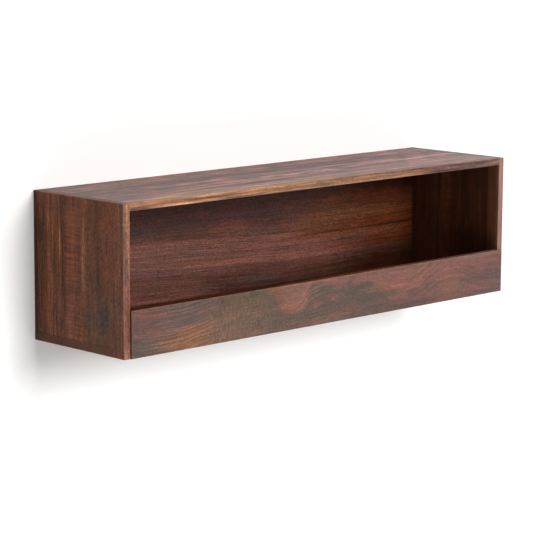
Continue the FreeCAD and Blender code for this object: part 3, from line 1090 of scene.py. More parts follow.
@dataclass(frozen=True)
class BeechFinish:
    """Pale beech of the dowels, with short dark flecks."""

    name: str
    # Fibres: their size in millimetres, contrast and roughness
    fibre_blob: tuple[float, float, float] = (2.2, 2.2, 2.2)
    fibre_seed: float = 1.0
    fibre_contrast: float = 0.12
    fibre_rough: float = 0.2
    # Flecks: their size in millimetres, the noise at which one starts and is full, and their shade
    fleck_blob: tuple[float, float, float] = (1.1, 1.1, 1.1)
    fleck_seed: float = 5.0
    fleck_edge: tuple[float, float] = (0.62, 0.72)
    fleck_shade: float = 0.3
    # The least roughness, how much of the fibres' relief shows, and its depth in metres
    roughness: float = 0.5
    relief: float = 0.3
    relief_depth: float = 0.0002

    def material(self) -> bpy.types.Material:
        """Build the material: fine noise for the fibres and small flecks.

        Returns:
            The material.
        """
        material, graph = blank_material(self.name)
        axes = maker_axes(graph)
        fibres = graph.noise(axes, self.fibre_blob, self.fibre_seed, detail=3.0)
        flecks = graph.noise(axes, self.fleck_blob, self.fleck_seed, detail=1.0)
        flecks = graph.ease(flecks, *self.fleck_edge)
        darker = graph.scaled(flecks, -self.fleck_shade, 1.0)
        shade = graph.times(graph.spread(fibres, self.fibre_contrast), darker)
        give_surface(graph, fibres, self.relief, self.relief_depth, {
            "Base Color": graph.tint(Tone.BEECH.linear, shade),
            "Roughness": graph.scaled(fibres, self.fibre_rough, self.roughness),
        })
        return material


def dress(node: str, material: bpy.types.Material) -> None:
    """Give a CAD node its material and report it.

    Args:
        node: The node's name.
        material: What it gets in place of the plain one.
    """
    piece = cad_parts[node]
    piece.data.materials.clear()
    piece.data.materials.append(material)
    low, high = maker_box(node)
    size = " x ".join(f"{top - bottom:.1f}" for bottom, top in zip(low, high))
    log.info("%s: %s mm, %s", node, size, material.name)


@dataclass
class Panel:
    """Staves glued edge to edge into one panel: a side, the top, the bottom or the back."""

    name: str
    finishes: dict[str, WoodFinish]

    def dress(self) -> None:
        """Give each stave its finish."""
        for stave, finish in self.finishes.items():
            node = f"{self.name}_{stave}_stave"
            dress(node, finish.material(node))


@dataclass
class Lip:
    """The low board across the front, one piece."""

    finish: WoodFinish
    node: str = "front_lip"

    def dress(self) -> None:
        """Give the lip its finish."""
        dress(self.node, self.finish.material(self.node))


@dataclass
class Surface:
    """A closed surface round an axis, as points and faces."""

    points: np.ndarray
    faces: list[tuple[int, ...]]

    @classmethod
    def turned(cls, radii: np.ndarray, along: np.ndarray) -> "Surface":
        """Wrap a grid of radii round the z axis and close both ends.

        The point in row i and column j lies at (r cos a, r sin a, z), with r and z from the two grids and
        a = 2 pi j / columns. The first and last rows are joined to a point on the axis.

        Args:
            radii: Rows along the piece, columns round it.
            along: The height of each of those points.

        Returns:
            The surface, with its faces outwards where z grows from row to row.
        """
        rows, columns = radii.shape
        angles = np.arange(columns) * (2 * math.pi / columns)
        ring = np.stack([radii * np.cos(angles), radii * np.sin(angles), along], axis=-1).reshape(-1, 3)
        ends = np.array([[0.0, 0.0, along[0].mean()], [0.0, 0.0, along[-1].mean()]])
        first = np.arange(rows - 1)[:, None] * columns + np.arange(columns)[None, :]
        after = np.arange(rows - 1)[:, None] * columns + (np.arange(columns)[None, :] + 1) % columns
        quads = np.stack([first, after, after + columns, first + columns], axis=-1).reshape(-1, 4)
        start, stop = rows * columns, rows * columns + 1
        low = [(start, int(b), int(a)) for a, b in zip(first[0], after[0])]
        high = [(stop, int(a) + columns, int(b) + columns) for a, b in zip(first[-1], after[-1])]
        return cls(np.vstack([ring, ends]), [tuple(q) for q in quads.tolist()] + low + high)


def smooth_step(value: np.ndarray, start: float, end: float) -> np.ndarray:
    """0 up to start, 1 from end, and 3 t^2 - 2 t^3 of the share between."""
    share = np.clip((value - start) / (end - start), 0, 1)
    return share * share * (3 - 2 * share)


def solids_of(node: str, axis: Axis, least_gap: float = 0.008) -> list[tuple[np.ndarray, np.ndarray]]:
    """The boxes of the separate solids of a node that stand in a row.

    Args:
        node: The node's name.
        axis: The axis that the row runs along.
        least_gap: The smallest free space between two of them, in metres.

    Returns:
        The lowest and highest corner of each, in metres.
    """
    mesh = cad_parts[node].data
    points = np.empty(len(mesh.vertices) * 3, np.float32)
    mesh.vertices.foreach_get("co", points)
    points = points.reshape(-1, 3).astype(float)
    points = points[np.argsort(points[:, axis])]
    breaks = np.nonzero(np.diff(points[:, axis]) > least_gap)[0] + 1
    return [(part.min(0), part.max(0)) for part in np.split(points, breaks)]


def row_piece(name: str, node: str, shapes: list[Surface], material: bpy.types.Material) -> None:
    """Make one object of several surfaces, which rides on the root and stands for a CAD node.

    Args:
        name: The new piece's name.
        node: The CAD node that it replaces.
        shapes: The surfaces, already in place, in metres.
        material: Their finish.
    """
    starts = np.cumsum([0] + [len(shape.points) for shape in shapes])
    faces = [
        tuple(int(start) + n for n in face) for start, shape in zip(starts, shapes) for face in shape.faces
    ]
    mesh = bpy.data.meshes.new(name)
    mesh.from_pydata(np.vstack([shape.points for shape in shapes]).tolist(), [], faces)
    mesh.polygons.foreach_set("use_smooth", np.ones(len(faces), bool))
    mesh.materials.append(material)
    mesh.update()
    piece = bpy.data.objects.new(name, mesh)
    bpy.context.scene.collection.objects.link(piece)
    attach(piece, ROOT)
    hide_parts(node)
    log.info("%s: %d solids, %d faces, stands for %s", name, len(shapes), len(faces), node)


def turn_to(points: np.ndarray, axis: Axis, sign: int) -> np.ndarray:
    """Turn points made along +z so that they lie along another axis, keeping them right-handed.

    Args:
        points: The points, one a row.
        axis: The axis that +z goes to.
        sign: 1 towards its high end, -1 towards its low end.

    Returns:
        The turned points.
    """
    orders = {Axis.X: (2, 0, 1), Axis.Y: (1, 2, 0), Axis.Z: (0, 1, 2)}
    turned = points[:, orders[axis]]
    if sign < 0:
        other = (axis + 1) % 3
        turned = turned.copy()
        turned[:, axis] *= -1
        turned[:, other] *= -1
    return turned


@dataclass
class Dowels:
    """A row of fluted beech dowels that stands for one CAD node."""

    node: str
    row_axis: Axis
    pin_axis: Axis
    finish: bpy.types.Material
    flutes: int = 16
    # The depth of a flute and the radius of the tip as shares of the radius, and the taper in metres
    flute_depth: float = 0.07
    tip_share: float = 0.82
    taper: float = 0.001
    # How finely the surface is divided
    columns_per_flute: int = 6
    rows: int = 24

    def shape(self, radius: float, length: float) -> Surface:
        """One dowel: a cylinder with a taper at each end and shallow flutes along it.

        The radius is R (tip + (1 - tip) ease(distance from the end / taper)) times
        1 - depth (1 + cos(n a)) / 2, faded out over the tapers.

        Args:
            radius: The dowel's radius in metres.
            length: Its length.

        Returns:
            The dowel standing on z = 0.
        """
        columns = self.flutes * self.columns_per_flute
        share = np.linspace(0, 1, self.rows)
        along = length * smooth_step(share, 0.0, 1.0)
        from_end = np.minimum(along, length - along)
        body = self.tip_share + (1 - self.tip_share) * smooth_step(from_end, 0.0, self.taper)
        angles = np.arange(columns) * (2 * math.pi / columns)
        groove = self.flute_depth * (1 + np.cos(self.flutes * angles)) / 2
        deep = smooth_step(from_end, 0.0, 2 * self.taper)
        radii = radius * body[:, None] * (1 - deep[:, None] * groove[None, :])
        return Surface.turned(radii, np.repeat(along[:, None], columns, axis=1))

    def build(self) -> None:
        """Build the row from the boxes of the CAD solids."""
        shapes = []
        for low, high in solids_of(self.node, self.row_axis):
            middle = (low + high) / 2
            length = high[self.pin_axis] - low[self.pin_axis]
            across = (self.pin_axis + 1) % 3
            radius = (high[across] - low[across]) / 2
            shape = self.shape(radius, length)
            shape.points[:, 2] -= length / 2
            shape.points = turn_to(shape.points, self.pin_axis, 1) + middle
            shapes.append(shape)
        row_piece(self.node + "_fluted", self.node, shapes, self.finish)


@dataclass
class Screws:
    """A row of countersunk wood screws with cross recesses that stands for one CAD node."""

    node: str
    row_axis: Axis
    axis: Axis
    sign: int
    sink: float
    pitch: float
    finish: bpy.types.Material
    # The shank's radius as a share of the head's, the core's as a share of that, and the point in metres
    shank_share: float = 0.5
    core: float = 0.7
    point: float = 0.003
    # The cross recess in metres, its reach as a share of the head's radius, and its width over its softness
    recess_depth: float = 0.0012
    recess_width: float = 0.0009
    recess_reach: float = 0.45
    recess_crispness: float = 3.0
    # How finely the surface is divided, and how near the axis its first and last rows come
    columns: int = 64
    rows_per_turn: int = 8
    face_rows: int = 16
    cone_rows: int = 6
    closing: float = 0.04

    def shape(self, head: float, length: float) -> Surface:
        """One screw, its flat head at z = 0 and its point at z = length.

        Rows run from the middle of the head out over its face, where the cross recess is sunk, in down its
        cone, and along the shank. There the radius is the core's plus a thread, whose tooth is the square of
        (1 + cos 2 pi t) / 2 with t = z / pitch - a / 2 pi. It closes to a point at the end.

        Args:
            head: The head's radius in metres.
            length: The screw's length.

        Returns:
            The screw along z.
        """
        shank = head * self.shank_share
        angles = np.arange(self.columns) * (2 * math.pi / self.columns)
        face = np.linspace(self.closing, 1, self.face_rows)[:, None] * head * np.ones(self.columns)
        east, north = np.abs(face * np.cos(angles)), np.abs(face * np.sin(angles))
        soft = self.recess_width / self.recess_crispness
        near_arm = smooth_step(self.recess_width / 2 - np.minimum(east, north), -soft / 2, soft / 2)
        in_reach = smooth_step(head * self.recess_reach - np.maximum(east, north), -soft, soft)
        face_z = self.recess_depth * near_arm * in_reach

        cone = np.linspace(0, 1, self.cone_rows)[1:, None] * np.ones(self.columns)
        cone_r = head + (shank - head) * cone
        cone_z = self.sink * cone

        turns = (length - self.sink) / self.pitch
        steps = np.linspace(self.sink, length, int(turns * self.rows_per_turn))[1:, None]
        tooth = steps / self.pitch - angles / (2 * math.pi)
        crest = (0.5 + 0.5 * np.cos(2 * math.pi * tooth)) ** 2
        start = smooth_step(steps, self.sink, self.sink + self.pitch)
        core = 1 - (1 - self.core) * start
        shape = core + (1 - core) * crest
        tip = np.clip((length - steps) / self.point, self.closing, 1)
        shank_r = shank * shape * tip
        shank_z = steps * np.ones(self.columns)
        return Surface.turned(np.vstack([face, cone_r, shank_r]), np.vstack([face_z, cone_z, shank_z]))

    def build(self) -> None:
        """Build the row from the boxes of the CAD solids."""
        shapes = []
        for low, high in solids_of(self.node, self.row_axis):
            middle = (low + high) / 2
            across = (self.axis + 1) % 3
            head = (high[across] - low[across]) / 2
            shape = self.shape(head, high[self.axis] - low[self.axis])
            foot = middle.copy()
            foot[self.axis] = low[self.axis] if self.sign > 0 else high[self.axis]
            shape.points = turn_to(shape.points, self.axis, self.sign) + foot
            shapes.append(shape)
        row_piece(self.node + "_threaded", self.node, shapes, self.finish)


@dataclass
class Hangers:
    """The two keyhole plates let into the back, dressed as they are."""

    finish: bpy.types.Material

    def dress(self) -> None:
        """Give each plate its steel."""
        for hand in Hand:
            dress(f"hanger_plate_{hand.value}", self.finish)


@dataclass
class Studio:
    """A white wall with the shelf on it, a pale floor far below, soft lamps and the camera."""

    # The wall and the floor in metres: half their width, the wall's top, and how far the floor lies below
    wall_half: float = 5.0
    wall_top: float = 3.0
    floor_drop: float = 1.4
    # How far the wall stands from the shelf's rear, and how far its opening lies within the shelf's outline
    wall_gap: float = 0.0001
    opening_inset: float = 0.0015
    # Their whites as linear light, their glow to the camera, and the light from all round
    wall_white: tuple[float, float, float] = (0.935, 0.93, 0.92)
    floor_white: tuple[float, float, float] = (0.86, 0.86, 0.86)
    glow: float = 0.1
    floor_glow: float = 0.4
    ambient: float = 0.19
    # The lamps' distance and width in metres, their direction in degrees, and their shares of the light
    lamp_reach: float = 9.0
    lamp_size: float = 4.0
    key_turn: float = 5.7
    key_rise: float = 17.0
    key_share: float = 0.88
    rear_share: float = 0.7
    # The camera: the picture's width and the focal length in pixels, the sensor in millimetres
    frame_pixels: float = 533.0
    focal_pixels: float = 2230.9
    sensor: float = 36.0
    # Where it stands, in metres, and how it is turned, in degrees
    eye: tuple[float, float, float] = (-2.6422, -2.7802, 0.5936)
    yaw: float = 44.284
    pitch: float = 9.573
    roll: float = -0.290

    def plain(self, name: str, white: tuple[float, float, float], glow: float) -> bpy.types.Material:
        """A white that takes shadows, glows a little to the camera and is clear from behind.

        Args:
            name: The material's name.
            white: Its colour as linear light.
            glow: How strongly it glows.

        Returns:
            The material.
        """
        material, graph = blank_material(name)
        lit = graph.times(self.seen(graph), glow)
        own = graph.add("ShaderNodeEmission", {"Strength": lit})
        matt = graph.add("ShaderNodeBsdfDiffuse", {"Color": (*white, 1.0)})
        front = graph.add("ShaderNodeAddShader", {0: matt.outputs[0], 1: own.outputs[0]})
        clear = graph.add("ShaderNodeBsdfTransparent", {})
        behind = graph.add("ShaderNodeNewGeometry", {}).outputs["Backfacing"]
        mixed = graph.add("ShaderNodeMixShader", {0: behind, 1: front.outputs[0], 2: clear.outputs[0]})
        graph.add("ShaderNodeOutputMaterial", {"Surface": mixed.outputs[0]})
        return material

    def seen(self, graph: Graph) -> Socket:
        """1 for what the camera sees directly, by reflection or through glass.

        Args:
            graph: The tree to add it to.

        Returns:
            1 or 0.
        """
        path = graph.add("ShaderNodeLightPath", {}).outputs
        seen = graph.math("MAXIMUM", path["Is Camera Ray"], path["Is Glossy Ray"])
        return graph.math("MAXIMUM", seen, path["Is Transmission Ray"])

    def sheet(
        self, name: str, points: np.ndarray, faces: list[tuple[int, ...]], finish: bpy.types.Material,
    ) -> None:
        """Make a flat piece of the studio, which isn't part of the shelf.

        Args:
            name: Its name.
            points: Its corners, one a row.
            faces: Their numbers, face by face.
            finish: Its material.
        """
        mesh = bpy.data.meshes.new(name)
        mesh.from_pydata(points.tolist(), [], faces)
        mesh.materials.append(finish)
        thing = bpy.data.objects.new(name, mesh)
        bpy.context.scene.collection.objects.link(thing)

    def build_wall(self) -> None:
        """The wall, open just behind the shelf so that light reaches its rear from behind.

        The points are the corners of the opening and of the wall, and four faces lie between them.
        """
        low, high = CAD_BOX
        inset = self.opening_inset
        inner = [
            (low.x + inset, low.z + inset), (high.x - inset, low.z + inset),
            (high.x - inset, high.z - inset), (low.x + inset, high.z - inset),
        ]
        half = self.wall_half
        bottom = low.z - self.floor_drop
        outer = [(-half, bottom), (half, bottom), (half, self.wall_top), (-half, self.wall_top)]
        flat = np.array(inner + outer)
        points = np.stack([flat[:, 0], np.full(len(flat), self.wall_gap), flat[:, 1]], axis=1)
        count = len(inner)
        faces = [(count + n, count + (n + 1) % count, (n + 1) % count, n) for n in range(count)]
        self.sheet("wall", points, faces, self.plain("wall_white", self.wall_white, self.glow))

    def build_floor(self) -> None:
        """The floor, far under the shelf on both sides of the wall."""
        half = self.wall_half
        level = CAD_BOX[0].z - self.floor_drop
        corners = ((-half, -half), (half, -half), (half, half), (-half, half))
        points = np.array([(x, y, level) for x, y in corners])
        white = self.plain("floor_white", self.floor_white, self.floor_glow)
        self.sheet("floor", points, [(0, 1, 2, 3)], white)

    def build_world(self) -> None:
        """Even light from all round, seen as white."""
        world = bpy.data.worlds.new("studio_world")
        bpy.context.scene.world = world
        world.use_nodes = True
        world.node_tree.nodes.clear()
        graph = Graph(world.node_tree)
        strength = graph.ease(self.seen(graph), 0.0, 1.0, self.ambient, 1.0)
        light = graph.add("ShaderNodeBackground", {"Color": (1.0, 1.0, 1.0, 1.0), "Strength": strength})
        graph.add("ShaderNodeOutputWorld", {"Surface": light.outputs[0]})

    def lamp(self, name: str, turn: float, rise: float, share: float, gleam: bool) -> None:
        """A wide, soft, distant lamp aimed at the middle of the shelf.

        Args:
            name: The lamp's name.
            turn: Degrees to the right of straight in front, as a person facing the wall counts them.
            rise: Degrees above level.
            share: How bright a white sheet that faces it becomes.
            gleam: Whether it shows in glossy surfaces, as a lamp with no polariser does.
        """
        light = bpy.data.lights.new(name, "AREA")
        light.shape = "DISK"
        light.size = self.lamp_size
        light.energy = share * (math.pi * self.lamp_reach) ** 2
        thing = bpy.data.objects.new(name, light)
        bpy.context.scene.collection.objects.link(thing)
        turn, rise = math.radians(turn), math.radians(rise)
        towards = Vector((math.sin(turn) * math.cos(rise), -math.cos(turn) * math.cos(rise), math.sin(rise)))
        thing.location = (CAD_BOX[0] + CAD_BOX[1]) / 2 + towards * self.lamp_reach
        thing.rotation_euler = towards.to_track_quat("Z", "Y").to_euler()
        thing.visible_camera = False
        thing.visible_glossy = gleam

    def build_camera(self) -> None:
        """The camera at the photographed angle: yaw to the right, pitch down, roll about its axis."""
        data = bpy.data.cameras.new("camera")
        data.sensor_width = self.sensor
        data.lens = self.sensor * self.focal_pixels / self.frame_pixels
        camera = bpy.data.objects.new("camera", data)
        bpy.context.scene.collection.objects.link(camera)
        yaw, pitch, roll = (math.radians(angle) for angle in (self.yaw, self.pitch, self.roll))
        ahead = Vector((math.sin(yaw) * math.cos(pitch), math.cos(yaw) * math.cos(pitch), -math.sin(pitch)))
        level = ahead.cross(Vector((0, 0, 1))).normalized()
        down = ahead.cross(level)
        right = level * math.cos(roll) + down * math.sin(roll)
        up = level * math.sin(roll) - down * math.cos(roll)
        turn = Matrix((right, up, -ahead)).transposed().to_4x4()
        camera.matrix_world = Matrix.Translation(self.eye) @ turn
        bpy.context.scene.camera = camera

    def build(self) -> None:
        """Build the whole studio."""
        bpy.context.scene.view_settings.view_transform = "Standard"
        self.build_world()
        self.build_wall()
        self.build_floor()
        self.lamp("key_lamp", self.key_turn, self.key_rise, self.key_share, gleam=False)
        self.lamp("rear_lamp", 180 - self.key_turn, self.key_rise, self.rear_share, gleam=True)
        self.build_camera()


# Figure that the top's rear and middle boards share, and that of the back's lower and middle boards
TOP_FIGURE = {
    "gloss": 0.19, "bands": 0.75, "streaks": 1.05, "mottle": 0.8, "blush": 4.0, "band_width": 11.0,
    "streak_width": 5.0,
}
BACK_FIGURE = {
    "wander": 5.0, "gloss": 0.2, "roughness": 0.5, "bands": 0.05, "streaks": 0.46, "mottle": 0.08,
    "flecks": 0.4, "streak_width": 2.4, "streak_length": 520.0, "drift": 0.05,
}

# Finishes by stave: the sides and the top and bottom from the wall to the front, the back from below
LEFT_SIDE = {
    "rear": WoodFinish(
        "left_rear_wood", Lie.STANDING, 11.3,
        (
            (0, Tone.PLUM), (8, Tone.UMBER), (13, Tone.CHESTNUT), (22, Tone.CHESTNUT), (26, Tone.UMBER),
            (30, Tone.WALNUT), (36, Tone.COPPER), (50, Tone.RUSSET), (59, Tone.WALNUT), (63, Tone.CHESTNUT),
            (66, Tone.RUSSET), (69, Tone.WALNUT), (73, Tone.PLUM), (76, Tone.UMBER),
        ),
        (
            Patch(Tone.COFFEE, 178, 16, 26, 8, 0.8), Patch(Tone.PLUM, 35, 16, 34, 14, 0.5),
            Patch(Tone.APRICOT, 165, 65.5, 30, 1.4, 0.7, 0.3), Patch(Tone.PLUM, 224, 50, 14, 60, 0.4),
            Patch(Tone.MAUVE, 50, 62, 50, 12, 0.4), Patch(Tone.TAR, 13.6, 38, 1.4, 44, 0.55, 0.2),
        ),
        wander=3.0, gloss=0.1, streaks=0.6, fibres=0.6, flecks=0.4, joint_shade=0.7,
    ),
    "curly": WoodFinish(
        "left_curly_wood", Lie.STANDING, 21.7,
        (
            (76, Tone.UMBER), (80, Tone.CHESTNUT), (85, Tone.RUSSET), (104, Tone.RUSSET),
            (112, Tone.CHESTNUT), (119, Tone.RUSSET),
        ),
        (
            Patch(Tone.PLUM, 232, 94, 14, 20, 0.5), Patch(Tone.COPPER, 185, 94, 36, 14, 0.4),
            Patch(Tone.MAUVE, 60, 96, 60, 16, 0.5), Patch(Tone.UMBER, 140, 115, 60, 2, 0.5, 0.3),
            Patch(Tone.COFFEE, 13.6, 98, 1.6, 26, 0.65, 0.2),
        ),
        wander=2.0, gloss=0.1, curl=0.34, streaks=0.12, bands=0.05, mottle=0.1, fibres=0.4, flecks=0.3,
        joint_shade=0.8,
    ),
    "middle": WoodFinish(
        "left_middle_wood", Lie.STANDING, 33.1,
        (
            (119, Tone.COPPER), (125, Tone.COPPER), (128, Tone.CHESTNUT), (148, Tone.CHESTNUT),
            (156, Tone.WALNUT), (164, Tone.WALNUT), (172, Tone.CHESTNUT), (194, Tone.CHESTNUT),
        ),
        (
            Patch(Tone.CHESTNUT, 40, 122, 52, 8, 0.8), Patch(Tone.CHESTNUT, 230, 122, 26, 8, 0.6),
            Patch(Tone.APRICOT, 145, 122.5, 60, 4, 0.85, 0.3), Patch(Tone.MAUVE, 130, 145, 44, 10, 0.45),
            Patch(Tone.COFFEE, 195, 153, 26, 3, 0.5), Patch(Tone.COFFEE, 130, 158, 70, 3, 0.35),
            Patch(Tone.FERN, 54, 162, 48, 40, 0.75), Patch(Tone.LODEN, 60, 138, 18, 9, 0.45),
            Patch(Tone.LODEN, 58, 173, 26, 11, 0.8), Patch(Tone.DUSK, 180, 182, 24, 10, 0.6),
            Patch(Tone.LODEN, 100, 162, 40, 5, 0.4), Patch(Tone.UMBER, 82, 153, 16, 10, 0.4),
            Patch(Tone.COFFEE, 13.6, 160, 1.4, 50, 0.5, 0.2),
        ),
        wander=5.0, gloss=0.1, streaks=0.24, mottle=0.26, flecks=0.5, joint_shade=0.85,
    ),
    "front": WoodFinish(
        "left_front_wood", Lie.STANDING, 41.9,
        (
            # The ROSE last millimetres before the front are the arris: rubbed wood and a painted glint of
            # light
            (194, Tone.CHESTNUT), (205, Tone.CHESTNUT), (211, Tone.RUSSET), (214, Tone.WALNUT),
            (217, Tone.CHESTNUT), (218.8, Tone.ROSE), (220, Tone.ROSE),
        ),
        (
            Patch(Tone.AMBER, 235, 221, 66, 2, 1.0, 0.3), Patch(Tone.CHESTNUT, 60, 221, 40, 2, 0.6, 0.3),
            Patch(Tone.HEATHER, 125, 221, 46, 2, 0.6, 0.3), Patch(Tone.OLIVE, 78, 202, 38, 10, 0.6),
            Patch(Tone.WALNUT, 170, 204, 30, 5, 0.6), Patch(Tone.AMBER, 4, 221, 18, 2, 0.6, 0.3),
            Patch(Tone.CHESTNUT, 106, 221, 13, 2, 0.4, 0.3), Patch(Tone.AMBER, 148, 221, 16, 2, 0.5, 0.3),
        ),
        wander=2.5, gloss=0.15, bands=0.1, streaks=0.5, mottle=0.3, flecks=0.5, joint_shade=0.85,
    ),
}

RIGHT_SIDE = {
    "rear": WoodFinish(
        "right_rear_wood", Lie.STANDING, 52.3,
        ((0, Tone.OLIVE), (40, Tone.CHESTNUT), (60, Tone.CHESTNUT), (70, Tone.TAWNY), (76, Tone.UMBER)),
        gloss=0.25, tone_and_sheen_cast=(1.02, 1.06, 1.04),
    ),
    "curly": WoodFinish(
        "right_curly_wood", Lie.STANDING, 63.9,
        ((76, Tone.UMBER), (84, Tone.RUSSET), (96, Tone.RUSSET), (104, Tone.WALNUT), (119, Tone.WALNUT)),
        (Patch(Tone.COPPER, 130, 90, 70, 14, 0.6), Patch(Tone.TAR, 76, 108, 34, 40, 0.4)),
        gloss=0.25, curl=0.2, tone_and_sheen_cast=(1.06, 1.18, 1.18),
    ),
    "middle": WoodFinish(
        "right_middle_wood", Lie.STANDING, 71.1,
        (
            (119, Tone.CHESTNUT), (140, Tone.UMBER), (165, Tone.WALNUT), (180, Tone.UMBER),
            (194, Tone.UMBER),
        ),
        (Patch(Tone.TAR, 76, 160, 34, 60, 0.6),),
        gloss=0.25, streaks=0.4, tone_and_sheen_cast=(1.0, 1.06, 1.04),
    ),
    "front": WoodFinish(
        "right_front_wood", Lie.STANDING, 83.3,
        ((194, Tone.RUSSET), (212, Tone.COPPER), (217, Tone.BLUSH), (220, Tone.BLUSH)),
        (
            Patch(Tone.WORN_GLINT, 222, 221, 44, 3, 0.3, 0.3), Patch(Tone.TAR, 80, 200, 32, 12, 0.65),
            Patch(Tone.GINGER, 170, 203, 30, 9, 0.3),
        ),
        wear_and_glint=0.15, wander=1.0, gloss=0.45, tone_and_sheen_cast=(1.0, 1.04, 1.1),
    ),
}

# The top's pale mauve, lilac and petal tones are partly painted sheen: the grey reflection of the bright
# room that an oiled top shows at a low angle
TOP = {
    "rear": WoodFinish(
        "top_rear_wood", Lie.LYING, 91.7,
        (
            (0, Tone.MAUVE), (14, Tone.TILE), (34, Tone.TILE), (48, Tone.CLAY), (60, Tone.DUSK),
            (76, Tone.DUSK),
        ),
        (
            Patch(Tone.SLATE, 240, 64, 90, 14, 0.8), Patch(Tone.GINGER, -150, 18, 160, 10, 0.4),
            Patch(Tone.MOSS, -340, 52, 60, 12, 0.5), Patch(Tone.LILAC, 380, 34, 80, 44, 0.7),
        ),
        **TOP_FIGURE,
    ),
    "middle": WoodFinish(
        "top_middle_wood", Lie.LYING, 103.3,
        (
            (76, Tone.DUSK), (88, Tone.MAUVE), (98, Tone.CLAY), (108, Tone.BLUSH), (122, Tone.CLAY),
            (134, Tone.BLUSH), (148, Tone.ROSE),
        ),
        (
            Patch(Tone.SLOE, -40, 84, 180, 12, 0.5), Patch(Tone.LILAC, 300, 112, 190, 30, 1.0),
            Patch(Tone.DUSK, -400, 112, 170, 40, 0.8), Patch(Tone.SLOE, -180, 121, 120, 5, 0.6),
            Patch(Tone.PETAL, 40, 124, 120, 12, 0.5),
        ),
        **TOP_FIGURE,
    ),
    "front": SappyFinish(
        "top_front_wood", Lie.LYING, 112.9,
        (
            (148, Tone.ROSE), (158, Tone.BLUSH), (170, Tone.ROSE), (184, Tone.LILAC), (204, Tone.LILAC),
            (213, Tone.ROSE), (220, Tone.HEATHER),
        ),
        (
            Patch(Tone.OLIVE, -160, 173, 170, 12, 1.0), Patch(Tone.SLOE, -400, 162, 70, 16, 0.7),
            Patch(Tone.LILAC, 290, 178, 190, 34, 1.0), Patch(Tone.PETAL, 160, 191, 330, 10, 0.9),
            Patch(Tone.COFFEE, -150, 172, 130, 6, 0.5, 0.6),
        ),
        gloss=0.19, bands=0.4, streaks=0.88, mottle=0.28, fibres=0.4, flecks=0.22, blush=1.6,
        band_width=11.0, streak_width=5.0,
        sapwood=(
            (-438, 6), (-400, 20), (-368, 25), (-320, 39), (-276, 33), (-229, 26), (0, 26), (138, 22),
            (190, 15), (235, 8), (285, 2), (330, 0), (438, 0),
        ),
        sap_tones=(
            (-438, Tone.STRAW), (-410, Tone.STRAW), (-385, Tone.AMBER), (-320, Tone.HONEY),
            (-120, Tone.HONEY), (60, Tone.AMBER), (220, Tone.AMBER), (438, Tone.GINGER),
        ),
    ),
}

BOTTOM = {
    "rear": WoodFinish(
        "bottom_rear_wood", Lie.LYING, 121.1,
        ((0, Tone.WALNUT), (30, Tone.CHESTNUT), (70, Tone.UMBER)),
        gloss=0.15,
    ),
    "middle": WoodFinish(
        "bottom_middle_wood", Lie.LYING, 133.7,
        ((70, Tone.WALNUT), (100, Tone.WALNUT), (140, Tone.CHESTNUT)),
        gloss=0.15, tone_and_sheen_cast=(0.92, 1.04, 1.04),
    ),
    "front": WoodFinish(
        "bottom_front_wood", Lie.LYING, 142.3,
        ((140, Tone.CHESTNUT), (180, Tone.WALNUT), (211, Tone.CHESTNUT)),
        gloss=0.15, tone_and_sheen_cast=(1.0, 1.14, 1.12),
    ),
}

